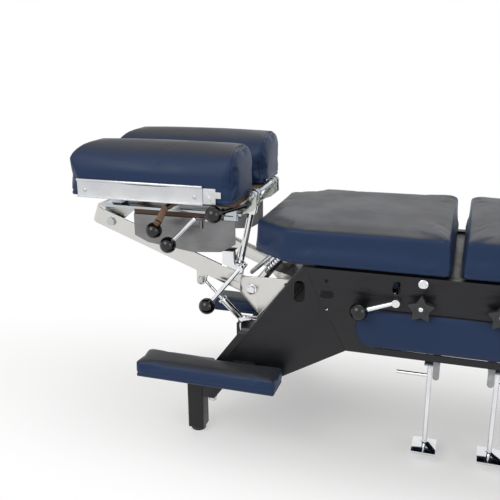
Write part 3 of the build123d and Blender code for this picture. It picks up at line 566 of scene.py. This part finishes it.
@dataclass
class Cushion:
    """An upholstered pad: foam in the CAD solid's space, whose cover is blown out and sewn."""

    name: str
    node: str
    body: str
    backing: Backing = Backing.BELOW
    inset: float = 0.0035
    swell: float = 0.0065
    voxel: float = 0.0062
    fill: float = 0.9
    pressure: float = 4.0
    seam_depth: float = 0.0022
    seam_width: float = 0.0030
    low_seam: float = 0.011
    panel_seam: float = 0.0
    held_band: float = 0.006
    frames: int = 20

    def build(self, shop: Workshop) -> bpy.types.Object:
        """Models the cushion.

        Args:
            shop: The frame and the finishes.

        Returns:
            The finished cushion.
        """
        piece = shop.add(self.name, self._foam(shop), shop.finishes.vinyl)
        self._remesh(piece)
        self._inflate(piece)
        smooth = piece.modifiers.new("smooth", "SUBSURF")
        smooth.levels = 1
        smooth.render_levels = 1
        shop.bake(piece, 180.0)
        self._sew(piece)
        shop.settle(piece, self.body, "upholstery", self.node)
        return piece

    def _foam(self, shop: Workshop) -> bmesh.types.BMesh:
        """The foam block: the CAD solid, drawn in by the inset on every side but its backing.

        Args:
            shop: The frame and the finishes.

        Returns:
            The block's mesh.
        """
        low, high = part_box(self.node)
        size = high - low
        middle = (low + high) / 2
        shape = bmesh.new()
        shape.from_mesh(shop.nodes[self.node].data)
        bmesh.ops.remove_doubles(shape, verts=shape.verts, dist=MERGE)
        anchor = middle.copy()
        shrink = Vector(1 - 2 * self.inset / length for length in size)
        if self.backing is Backing.BELOW:
            anchor.z = low.z
            shrink.z = 1 - self.inset / size.z
        else:
            anchor.y = high.y if middle.y < 0 else low.y
            shrink.y = 1 - self.inset / size.y
        for vertex in shape.verts:
            vertex.co = Vector(a + (c - a) * k for a, c, k in zip(anchor, vertex.co, shrink))
        return shape

    def _remesh(self, piece: bpy.types.Object) -> None:
        """Gives the block even faces.

        Args:
            piece: The foam block.
        """
        remesh = piece.modifiers.new("even", "REMESH")
        remesh.mode = "VOXEL"
        remesh.voxel_size = self.voxel
        bpy.context.view_layer.update()
        evaluated = piece.evaluated_get(bpy.context.evaluated_depsgraph_get())
        mesh = bpy.data.meshes.new_from_object(evaluated)
        piece.modifiers.clear()
        piece.data = mesh

    def _held(self, start: np.ndarray) -> np.ndarray:
        """Which points are fixed to the backing.

        Args:
            start: The points at rest.

        Returns:
            True for each fixed point.
        """
        low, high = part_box(self.node)
        if self.backing is Backing.BELOW:
            return start[:, 2] < low.z + self.held_band
        if low.y + high.y < 0:
            return start[:, 1] > high.y - self.held_band
        return start[:, 1] < low.y + self.held_band

    def _inflate(self, piece: bpy.types.Object) -> None:
        """Blows the cover out with cloth, holding it at its backing and capping how far it moves.

        Args:
            piece: The foam block with even faces.
        """
        mesh = piece.data
        start = np.empty(len(mesh.vertices) * 3)
        mesh.vertices.foreach_get("co", start)
        start = start.reshape(-1, 3)
        fixed = self._held(start)
        held = piece.vertex_groups.new(name="held")
        held.add([int(i) for i in np.nonzero(fixed)[0]], 1.0, "REPLACE")
        cloth = piece.modifiers.new("cover", "CLOTH")
        cloth.settings.use_pressure = True
        cloth.settings.uniform_pressure_force = self.pressure
        cloth.settings.effector_weights.gravity = 0.0
        cloth.settings.vertex_group_mass = "held"
        cloth.settings.quality = 4
        cloth.collision_settings.use_collision = False
        cloth.point_cache.frame_start = 1
        cloth.point_cache.frame_end = self.frames
        scene = bpy.context.scene
        for frame in range(1, self.frames + 1):
            scene.frame_set(frame)
        evaluated = piece.evaluated_get(bpy.context.evaluated_depsgraph_get())
        end = np.empty(len(mesh.vertices) * 3)
        evaluated.data.vertices.foreach_get("co", end)
        end = end.reshape(-1, 3)
        piece.modifiers.clear()
        piece.vertex_groups.clear()
        scene.frame_set(1)
        step = end - start
        length = np.linalg.norm(step, axis=1, keepdims=True)
        capped = self.swell * np.tanh(length / self.swell)
        moved = start + step * capped / np.maximum(length, 1e-9)
        low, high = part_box(self.node)
        if self.backing is Backing.BELOW:
            moved[:, 2] = np.maximum(moved[:, 2], low.z)
        elif low.y + high.y < 0:
            moved[:, 1] = np.minimum(moved[:, 1], high.y)
        else:
            moved[:, 1] = np.maximum(moved[:, 1], low.y)
        mesh.vertices.foreach_set("co", moved.reshape(-1))
        mesh.update()

    def _sew(self, piece: bpy.types.Object) -> None:
        """Presses the seams in: one over the board, and one round the end panel where there is one.

        Args:
            piece: The finished cushion.
        """
        low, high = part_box(self.node)
        mesh = piece.data
        places = np.empty(len(mesh.vertices) * 3)
        facing = np.empty(len(mesh.vertices) * 3)
        mesh.vertices.foreach_get("co", places)
        mesh.vertices.foreach_get("normal", facing)
        places = places.reshape(-1, 3)
        facing = facing.reshape(-1, 3)
        depth = np.zeros(len(places))
        if self.backing is Backing.BELOW:
            off = places[:, 2] - (low.z + self.low_seam)
            upright = np.abs(facing[:, 2]) < 0.7
            depth = np.maximum(depth, np.exp(-((off / self.seam_width) ** 2)) * upright)
        if self.panel_seam:
            off = places[:, 0] - (high.x - self.panel_seam)
            across = np.abs(facing[:, 0]) < 0.8
            depth = np.maximum(depth, np.exp(-((off / self.seam_width) ** 2)) * across)
        places -= facing * (self.seam_depth * depth)[:, None]
        mesh.vertices.foreach_set("co", places.reshape(-1))
        mesh.update()


@dataclass
class Sections:
    """The table's three body cushions."""

    cushions: tuple[Cushion, ...] = (
        Cushion("thoracic_cushion", "thoracic_pad", "thoracic_section"),
        Cushion("pelvic_cushion", "pelvic_pad", "pelvic_section"),
        Cushion("foot_cushion", "foot_pad", "frame"),
    )

    def build(self, shop: Workshop) -> None:
        """Makes each cushion.

        Args:
            shop: The frame and the finishes.
        """
        for cushion in self.cushions:
            cushion.build(shop)


@dataclass
class HeadCushions:
    """The two head cushions, arched across, each with piping round its end panel."""

    arch: float = 0.068
    panel: float = 0.009
    piping: float = 0.0024
    sunk: float = 0.2
    spacing: float = 0.006
    smoothing: int = 2
    arch_steps: int = 8
    foot_height: float = 0.014

    def build(self, shop: Workshop) -> None:
        """Makes both cushions and their piping.

        Args:
            shop: The frame and the finishes.
        """
        for side in Side:
            tag = side.name.lower()
            node = f"head_pad_{tag}"
            cushion = Cushion(
                f"head_cushion_{tag}",
                node,
                "head_cushions",
                swell=0.0075,
                voxel=0.0055,
                panel_seam=self.panel,
            ).build(shop)
            repeats = Repeats(f"head_piping_{tag}", "head_cushions", "upholstery", shop.finishes.vinyl)
            repeats.along(shop, self._laid(cushion, self._edge(node)), self.piping)

    def _laid(self, cushion: bpy.types.Object, line: list[Vector]) -> list[Vector]:
        """Lays a line on a cushion's cover.

        Args:
            cushion: The finished cushion.
            line: The line near the cover.

        Returns:
            Closer points, each a little under the cover's surface.
        """
        laid = []
        for first, last in zip(line, line[1:]):
            count = max(1, round((last - first).length / self.spacing))
            for k in range(count):
                near = first.lerp(last, k / count)
                found, place, facing, _ = cushion.closest_point_on_mesh(near)
                laid.append(place - facing * self.sunk * self.piping if found else near)
        for _ in range(self.smoothing):
            middle = [(a + 2 * b + c) / 4 for a, b, c in zip(laid, laid[1:], laid[2:])]
            laid = [laid[0], *middle, laid[-1]]
        return laid

    def _edge(self, node: str) -> list[Vector]:
        """The end panel's edge: up one side, over the arch and down the other.

        Args:
            node: The cushion's CAD node.

        Returns:
            The edge's points.
        """
        low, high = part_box(node)
        x = high.x - self.panel
        points = [Vector((x, low.y, low.z + self.foot_height))]
        for centre_y, first in ((low.y + self.arch, 180), (high.y - self.arch, 90)):
            for k in range(self.arch_steps + 1):
                turn = math.radians(first - 90 * k / self.arch_steps)
                y = centre_y + self.arch * math.cos(turn)
                z = high.z - self.arch + self.arch * math.sin(turn)
                points.append(Vector((x, y, z)))
        points.append(Vector((x, high.y, low.z + self.foot_height)))
        return points


@dataclass
class Armrests:
    """The two armrest cushions and their brackets."""

    def build(self, shop: Workshop) -> None:
        """Makes both sides.

        Args:
            shop: The frame and the finishes.
        """
        for side in Side:
            tag = side.name.lower()
            Cushion(
                f"armrest_cushion_{tag}", f"armrest_pad_{tag}", f"{tag}_armrest", voxel=0.0050, swell=0.0060
            ).build(shop)
            shop.dress(f"armrest_bracket_{tag}", shop.finishes.paint, "frame_paint")


@dataclass
class Bolsters:
    """The long cushions let into the side rails."""

    def build(self, shop: Workshop) -> None:
        """Makes both bolsters.

        Args:
            shop: The frame and the finishes.
        """
        for side in Side:
            tag = side.name.lower()
            Cushion(
                f"bolster_{tag}",
                f"side_bolster_{tag}",
                "frame",
                backing=Backing.INSIDE,
                inset=-0.0012,
                swell=0.0035,
                voxel=0.0042,
                pressure=3.0,
            ).build(shop)


@dataclass
class Repeats:
    """Small pieces that repeat, or follow a line, made with Geometry Nodes."""

    name: str
    body: str
    slot: str
    finish: bpy.types.Material
    cord_sides: int = 10
    head_sides: int = 18
    head_rings: int = 10
    wire_sides: int = 8
    points_per_turn: int = 24
    sharp: float = 40.0

    def along(self, shop: Workshop, points: list[Vector], radius: float) -> bpy.types.Object:
        """A round cord sewn along a line.

        Args:
            shop: The frame and the finishes.
            points: The line.
            radius: The cord's radius.

        Returns:
            The finished cord.
        """
        mesh = bpy.data.meshes.new(self.name)
        mesh.from_pydata(points, [(i, i + 1) for i in range(len(points) - 1)], [])
        tree, start, end = self._tree({"Radius": radius})
        curve = tree.nodes.new("GeometryNodeMeshToCurve")
        section = tree.nodes.new("GeometryNodeCurvePrimitiveCircle")
        section.inputs["Resolution"].default_value = self.cord_sides
        sweep = tree.nodes.new("GeometryNodeCurveToMesh")
        sweep.inputs["Fill Caps"].default_value = True
        tree.links.new(start.outputs["Geometry"], curve.inputs["Mesh"])
        tree.links.new(start.outputs["Radius"], section.inputs["Radius"])
        tree.links.new(curve.outputs["Curve"], sweep.inputs["Curve"])
        tree.links.new(section.outputs["Curve"], sweep.inputs["Profile Curve"])
        self._finish(tree, sweep.outputs["Mesh"], end)
        return self._convert(shop, mesh, tree, {"Radius": radius})

    def screws(self, shop: Workshop, places: list[Vector], radius: float, height: float) -> bpy.types.Object:
        """Raised screw heads with their axes along Y.

        Args:
            shop: The frame and the finishes.
            places: Where the heads' middles are.
            radius: Their radius.
            height: How thick they are.

        Returns:
            The finished screws.
        """
        mesh = bpy.data.meshes.new(self.name)
        mesh.from_pydata(places, [], [])
        sizes = {"Radius": radius, "Height": height}
        tree, start, end = self._tree(sizes)
        head = tree.nodes.new("GeometryNodeMeshUVSphere")
        head.inputs["Segments"].default_value = self.head_sides
        head.inputs["Rings"].default_value = self.head_rings
        flatten = tree.nodes.new("GeometryNodeTransform")
        scale = tree.nodes.new("ShaderNodeCombineXYZ")
        instance = tree.nodes.new("GeometryNodeInstanceOnPoints")
        tree.links.new(start.outputs["Radius"], scale.inputs["X"])
        tree.links.new(start.outputs["Height"], scale.inputs["Y"])
        tree.links.new(start.outputs["Radius"], scale.inputs["Z"])
        head.inputs["Radius"].default_value = 1.0
        tree.links.new(head.outputs["Mesh"], flatten.inputs["Geometry"])
        tree.links.new(scale.outputs["Vector"], flatten.inputs["Scale"])
        tree.links.new(start.outputs["Geometry"], instance.inputs["Points"])
        tree.links.new(flatten.outputs["Geometry"], instance.inputs["Instance"])
        self._finish(tree, instance.outputs["Instances"], end)
        return self._convert(shop, mesh, tree, sizes)

    def coil(
        self, shop: Workshop, low: Vector, high: Vector, reach: float, wire: float, turns: float
    ) -> bpy.types.Object:
        """A coil of wire from one point to another, as a spring or a thread.

        Args:
            shop: The frame and the finishes.
            low: The coil's first end.
            high: Its other end.
            reach: The coil's mean radius.
            wire: The wire's radius.
            turns: How often it winds.

        Returns:
            The finished coil.
        """
        mesh = bpy.data.meshes.new(self.name)
        mesh.from_pydata([low], [], [])
        run = high - low
        sizes = {"Reach": reach, "Wire": wire, "Turns": turns, "Length": run.length}
        tree, start, end = self._tree(sizes)
        spiral = tree.nodes.new("GeometryNodeCurveSpiral")
        spiral.inputs["Resolution"].default_value = self.points_per_turn
        tree.links.new(start.outputs["Turns"], spiral.inputs["Rotations"])
        tree.links.new(start.outputs["Reach"], spiral.inputs["Start Radius"])
        tree.links.new(start.outputs["Reach"], spiral.inputs["End Radius"])
        tree.links.new(start.outputs["Length"], spiral.inputs["Height"])
        section = tree.nodes.new("GeometryNodeCurvePrimitiveCircle")
        section.inputs["Resolution"].default_value = self.wire_sides
        tree.links.new(start.outputs["Wire"], section.inputs["Radius"])
        sweep = tree.nodes.new("GeometryNodeCurveToMesh")
        sweep.inputs["Fill Caps"].default_value = True
        tree.links.new(spiral.outputs["Curve"], sweep.inputs["Curve"])
        tree.links.new(section.outputs["Curve"], sweep.inputs["Profile Curve"])
        place = tree.nodes.new("GeometryNodeTransform")
        place.inputs["Translation"].default_value = low
        place.inputs["Rotation"].default_value = run.to_track_quat("Z", "Y").to_euler()
        tree.links.new(sweep.outputs["Mesh"], place.inputs["Geometry"])
        self._finish(tree, place.outputs["Geometry"], end)
        return self._convert(shop, mesh, tree, sizes)

    def _tree(self, sizes: dict[str, float]) -> tuple[bpy.types.NodeTree, bpy.types.Node, bpy.types.Node]:
        """Starts a tree with named inputs.

        Args:
            sizes: The inputs' names and defaults.

        Returns:
            The tree, its input node and its output node.
        """
        tree = bpy.data.node_groups.new(self.name, "GeometryNodeTree")
        tree.interface.new_socket("Geometry", in_out="INPUT", socket_type="NodeSocketGeometry")
        for key, value in sizes.items():
            socket = tree.interface.new_socket(key, in_out="INPUT", socket_type="NodeSocketFloat")
            socket.default_value = value
        tree.interface.new_socket("Geometry", in_out="OUTPUT", socket_type="NodeSocketGeometry")
        return tree, tree.nodes.new("NodeGroupInput"), tree.nodes.new("NodeGroupOutput")

    def _finish(self, tree: bpy.types.NodeTree, shape: Socket, end: bpy.types.Node) -> None:
        """Ends a tree with real geometry and its material.

        Args:
            tree: The tree.
            shape: The socket that gives the shape.
            end: The tree's output node.
        """
        real = tree.nodes.new("GeometryNodeRealizeInstances")
        paint = tree.nodes.new("GeometryNodeSetMaterial")
        paint.inputs["Material"].default_value = self.finish
        tree.links.new(shape, real.inputs["Geometry"])
        tree.links.new(real.outputs["Geometry"], paint.inputs["Geometry"])
        tree.links.new(paint.outputs["Geometry"], end.inputs["Geometry"])

    def _convert(
        self, shop: Workshop, mesh: bpy.types.Mesh, tree: bpy.types.NodeTree, sizes: dict[str, float]
    ) -> bpy.types.Object:
        """Runs the tree on a mesh and keeps the result as a plain mesh.

        Args:
            shop: The frame and the finishes.
            mesh: The points or edges that the tree starts from.
            tree: The tree.
            sizes: Its inputs' names and values.

        Returns:
            The finished piece.
        """
        piece = bpy.data.objects.new(self.name, mesh)
        bpy.context.scene.collection.objects.link(piece)
        modifier = piece.modifiers.new("repeats", "NODES")
        modifier.node_group = tree
        for item in tree.interface.items_tree:
            if item.item_type == "SOCKET" and item.in_out == "INPUT" and item.name in sizes:
                modifier[item.identifier] = float(sizes[item.name])
        shop.bake(piece, self.sharp)
        return shop.settle(piece, self.body, self.slot)


@dataclass
class Fittings:
    """Screws, threads and the buffer's spring."""

    screw_radius: float = 0.0055
    screw_height: float = 0.0022
    screw_from_end: float = 0.022
    screw_in_bar: float = 0.0045
    screw_below_middle: float = 0.006
    nose_reach: float = 0.006
    buffer_y: float = -0.060
    spring_low: Point2 = (0.006, -0.176)
    spring_high: Point2 = (0.040, -0.139)
    spring_reach: float = 0.0118
    spring_wire: float = 0.0013
    spring_turns: float = 11.0
    thread_low: Point2 = (-0.044, -0.189)
    thread_high: Point2 = (0.017, -0.133)
    thread_reach: float = 0.0060
    thread_wire: float = 0.0006
    thread_turns: float = 34.0

    def build(self, shop: Workshop) -> None:
        """Makes each set.

        Args:
            shop: The frame and the finishes.
        """
        done = shop.finishes
        low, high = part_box("paper_bar")
        z = (low.z + high.z) / 2 - self.screw_below_middle
        y = low.y + self.screw_in_bar
        places = [Vector((x, y, z)) for x in (low.x + self.screw_from_end, high.x - self.screw_from_end)]
        Repeats("paper_bar_screws", "paper_holder", "zinc", done.zinc).screws(
            shop, places, self.screw_radius, self.screw_height
        )
        for tag in ("thoracic", "pelvic"):
            low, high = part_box(f"{tag}_star_knob")
            middle = (low + high) / 2
            place = Vector((middle.x, low.y, middle.z))
            Repeats(f"{tag}_star_screw", f"{tag}_star", "polished", done.chrome).screws(
                shop, [place], self.screw_radius, self.screw_height
            )
        self._buffer(shop)

    def _buffer(self, shop: Workshop) -> None:
        """Winds the spring and the thread round the buffer's two rods.

        Args:
            shop: The frame and the finishes.
        """
        done = shop.finishes
        low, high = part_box("thoracic_pad")
        face = low.x + self.nose_reach
        ends = []
        for along, above in (self.spring_low, self.spring_high, self.thread_low, self.thread_high):
            ends.append(Vector((face + along, self.buffer_y, high.z + above)))
        Repeats("buffer_spring", "frame", "polished", done.chrome).coil(
            shop, ends[0], ends[1], self.spring_reach, self.spring_wire, self.spring_turns
        )
        Repeats("stop_thread", "frame", "polished", done.zinc).coil(
            shop, ends[2], ends[3], self.thread_reach, self.thread_wire, self.thread_turns
        )


@dataclass
class RigidParts:
    """The rigid CAD nodes by finish."""

    painted: tuple[str, ...] = (
        "side_rail_near",
        "side_rail_far",
        "gusset_near",
        "gusset_far",
        "front_plate",
        "brace_near",
        "brace_far",
        "head_legs",
        "foot_leg_frame",
        "cross_channels",
    )
    polished: tuple[str, ...] = ("head_arm", "pivot_brackets")
    chromed: tuple[str, ...] = (
        "pivot_bolt",
        "strut_rod",
        "strut_cylinder",
        "strut_clevis",
        "link_rod",
        "link_sleeve",
        "thoracic_cam_lever",
        "pelvic_cam_lever",
        "thoracic_pedal_rod",
        "pelvic_pedal_rod",
        "lock_lever",
        "tilt_lever",
        "frame_bolts",
        "buffer_rods",
    )
    zinced: tuple[str, ...] = ("headpiece_tray", "drop_hinge", "pad_hinge_pins", "arm_bolts")
    pressed: tuple[str, ...] = ("paper_bar", "paper_clip")
    wooden: tuple[str, ...] = ("thoracic_board", "pelvic_board", "foot_board", "head_board", "head_planks")
    balls: tuple[str, ...] = (
        "thoracic_lever_ball",
        "pelvic_lever_ball",
        "lock_lever_ball",
        "drop_lever_ball",
        "tilt_lever_ball",
        "tension_knob",
    )
    stars: tuple[str, ...] = ("thoracic_star_knob", "pelvic_star_knob")
    bar_edge: float = 0.0008
    plate_edge: float = 0.0007
    turned_edge: float = 0.0005
    thin_edge: float = 0.0004
    star_edge: float = 0.0012

    def build(self, shop: Workshop) -> None:
        """Dresses each node.

        Args:
            shop: The frame and the finishes.
        """
        done = shop.finishes
        for node in self.painted:
            shop.dress(node, done.paint, "frame_paint", self.bar_edge)
        for node in self.polished:
            shop.dress(node, done.polished, "polished", self.bar_edge)
        for node in self.chromed:
            shop.dress(node, done.chrome, "polished", self.turned_edge)
        for node in self.zinced:
            shop.dress(node, done.zinc, "zinc", self.turned_edge)
        shop.dress("tilt_plates", done.brushed, "zinc", self.plate_edge)
        shop.dress("drop_lever", done.bronzed, "bronzed", self.plate_edge)
        for node in self.pressed:
            shop.dress(node, done.pressed, "zinc", self.thin_edge)
        for node in self.wooden:
            shop.dress(node, done.wood, "board")
        for node in self.balls:
            shop.dress(node, done.gloss, "knobs", self.thin_edge)
        for node in self.stars:
            shop.dress(node, done.matte, "star_knobs", self.star_edge, 3)
        shop.dress("leg_glides", done.matte, "star_knobs")
        shop.dress("rod_guides", done.grey, "frame_paint")


@dataclass(frozen=True)
class Lamp:
    """A soft round lamp: where it hangs, what it points at, how wide it is and its watts."""

    name: str
    place: Point3
    target: Point3
    size: float
    power: float


@dataclass
class Studio:
    """The camera at the photograph's viewpoint, plain lights and a pale floor."""

    camera_at: Point3 = (0.0616, -1.8017, 1.0485)
    yaw: float = 17.9
    pitch: float = 17.16
    roll: float = -0.34
    lens: float = 50.4
    sensor: float = 36.0
    far_clip: float = 100.0
    lamps: tuple[Lamp, ...] = (
        Lamp("key", (-1.6, -2.6, 2.6), (0.0, 0.0, 0.5), 2.2, 42.0),
        Lamp("fill", (2.6, -2.0, 1.6), (0.0, 0.0, 0.4), 2.0, 20.0),
        Lamp("top", (0.0, 1.2, 3.0), (0.0, 0.0, 0.6), 2.6, 34.0),
    )
    room_low: float = 0.40
    room_high: float = 0.92
    room_high_at: float = 0.7
    room_strength: float = 0.62
    floor_half: float = 30.0
    floor_colour: Colour = (0.90, 0.89, 0.875)
    floor_roughness: float = 0.7
    # The floor's painted glow: how it is stretched round the table, where it starts and stops growing, and
    # its least share.
    fade_shape: Point3 = (0.45, 1.5, 1.0)
    fade_start: float = 0.25
    fade_end: float = 0.95
    least_painted_glow: float = 0.35

    def build(self) -> None:
        """Sets up the camera, the lights, the world and the floor."""
        self._camera()
        self._lights()
        self._world()
        self._floor()
        bpy.context.scene.view_settings.view_transform = "Standard"

    def _camera(self) -> None:
        """Places the camera."""
        data = bpy.data.cameras.new("camera")
        data.lens = self.lens
        data.sensor_width = self.sensor
        data.clip_end = self.far_clip
        camera = bpy.data.objects.new("camera", data)
        bpy.context.scene.collection.objects.link(camera)
        turn = (
            Matrix.Rotation(math.radians(self.yaw), 4, "Z")
            @ Matrix.Rotation(math.radians(90 - self.pitch), 4, "X")
            @ Matrix.Rotation(math.radians(self.roll), 4, "Z")
        )
        camera.matrix_world = Matrix.Translation(self.camera_at) @ turn
        bpy.context.scene.camera = camera

    def _lights(self) -> None:
        """Hangs the soft lamps."""
        for lamp in self.lamps:
            data = bpy.data.lights.new(lamp.name, "AREA")
            data.shape = "DISK"
            data.size = lamp.size
            data.energy = lamp.power
            hung = bpy.data.objects.new(lamp.name, data)
            bpy.context.scene.collection.objects.link(hung)
            aim = (Vector(lamp.target) - Vector(lamp.place)).to_track_quat("-Z", "Y")
            hung.matrix_world = Matrix.Translation(lamp.place) @ aim.to_matrix().to_4x4()

    @staticmethod
    def _seen(tree: bpy.types.NodeTree) -> Socket:
        """Tells what is seen, or seen through glass or in metal, from what only lights.

        Args:
            tree: The node tree that needs to know.

        Returns:
            1 for a camera, glossy or transmission ray, otherwise 0.
        """
        path = tree.nodes.new("ShaderNodeLightPath")
        seen = path.outputs["Is Camera Ray"]
        for kind in ("Is Glossy Ray", "Is Transmission Ray"):
            either = tree.nodes.new("ShaderNodeMath")
            either.operation = "MAXIMUM"
            tree.links.new(seen, either.inputs[0])
            tree.links.new(path.outputs[kind], either.inputs[1])
            seen = either.outputs["Value"]
        return seen

    def _world(self) -> None:
        """White for the camera, a studio's falling brightness for light and reflections."""
        world = bpy.data.worlds.new("studio")
        bpy.context.scene.world = world
        world.use_nodes = True
        tree = world.node_tree
        tree.nodes.clear()
        output = tree.nodes.new("ShaderNodeOutputWorld")
        place = tree.nodes.new("ShaderNodeTexCoord")
        split = tree.nodes.new("ShaderNodeSeparateXYZ")
        ramp = tree.nodes.new("ShaderNodeValToRGB")
        room = tree.nodes.new("ShaderNodeBackground")
        white = tree.nodes.new("ShaderNodeBackground")
        mix = tree.nodes.new("ShaderNodeMixShader")
        tree.links.new(place.outputs["Generated"], split.inputs["Vector"])
        tree.links.new(split.outputs["Z"], ramp.inputs["Fac"])
        first, last = ramp.color_ramp.elements
        first.color = (self.room_low, self.room_low, self.room_low, 1.0)
        last.color = (self.room_high, self.room_high, self.room_high, 1.0)
        last.position = self.room_high_at
        tree.links.new(ramp.outputs["Color"], room.inputs["Color"])
        room.inputs["Strength"].default_value = self.room_strength
        tree.links.new(self._seen(tree), mix.inputs["Fac"])
        tree.links.new(room.outputs["Background"], mix.inputs[1])
        tree.links.new(white.outputs["Background"], mix.inputs[2])
        white.inputs["Color"].default_value = (1.0, 1.0, 1.0, 1.0)
        tree.links.new(mix.outputs["Shader"], output.inputs["Surface"])

    def _floor(self) -> None:
        """Lays a pale floor with a painted glow for the camera and reflections, least under the table and
        full far from it, so the floor fades into the white background.
        """
        shape = bmesh.new()
        bmesh.ops.create_grid(shape, x_segments=2, y_segments=2, size=self.floor_half)
        mesh = bpy.data.meshes.new("floor")
        shape.to_mesh(mesh)
        shape.free()
        floor = bpy.data.objects.new("floor", mesh)
        bpy.context.scene.collection.objects.link(floor)
        shader = Shader("pale_floor")
        shader.set(Base_Color=self.floor_colour, Roughness=self.floor_roughness)
        # Painted glow: white emission, seen by the camera and in reflections, mixed in more the farther the
        # floor is from the table.
        length = shader.tree.nodes.new("ShaderNodeVectorMath")
        length.operation = "LENGTH"
        shader.link(shader.place(self.fade_shape), length.inputs[0])
        painted_glow_share = shader.span(
            length.outputs["Value"], self.fade_start, self.fade_end, self.least_painted_glow, 1.0
        )
        both = shader.tree.nodes.new("ShaderNodeMath")
        both.operation = "MULTIPLY"
        shader.link(painted_glow_share, both.inputs[0])
        shader.link(self._seen(shader.tree), both.inputs[1])
        glow = shader.tree.nodes.new("ShaderNodeEmission")
        mix = shader.tree.nodes.new("ShaderNodeMixShader")
        output = shader.tree.nodes["Material Output"]
        shader.link(both.outputs["Value"], mix.inputs["Fac"])
        shader.link(shader.bsdf.outputs["BSDF"], mix.inputs[1])
        shader.link(glow.outputs["Emission"], mix.inputs[2])
        shader.link(mix.outputs["Shader"], output.inputs["Surface"])
        mesh.materials.append(shader.material)


def main() -> None:
    """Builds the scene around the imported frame."""
    logging.basicConfig(level=logging.INFO, format="%(message)s")
    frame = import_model()
    shop = Workshop(frame["nodes"], frame["record"]["behaviour"]["bodies"], Finishes())
    Studio().build()
    RigidParts().build(shop)
    Sections().build(shop)
    HeadCushions().build(shop)
    Armrests().build(shop)
    Bolsters().build(shop)
    Fittings().build(shop)


if __name__ == "__main__":
    main()
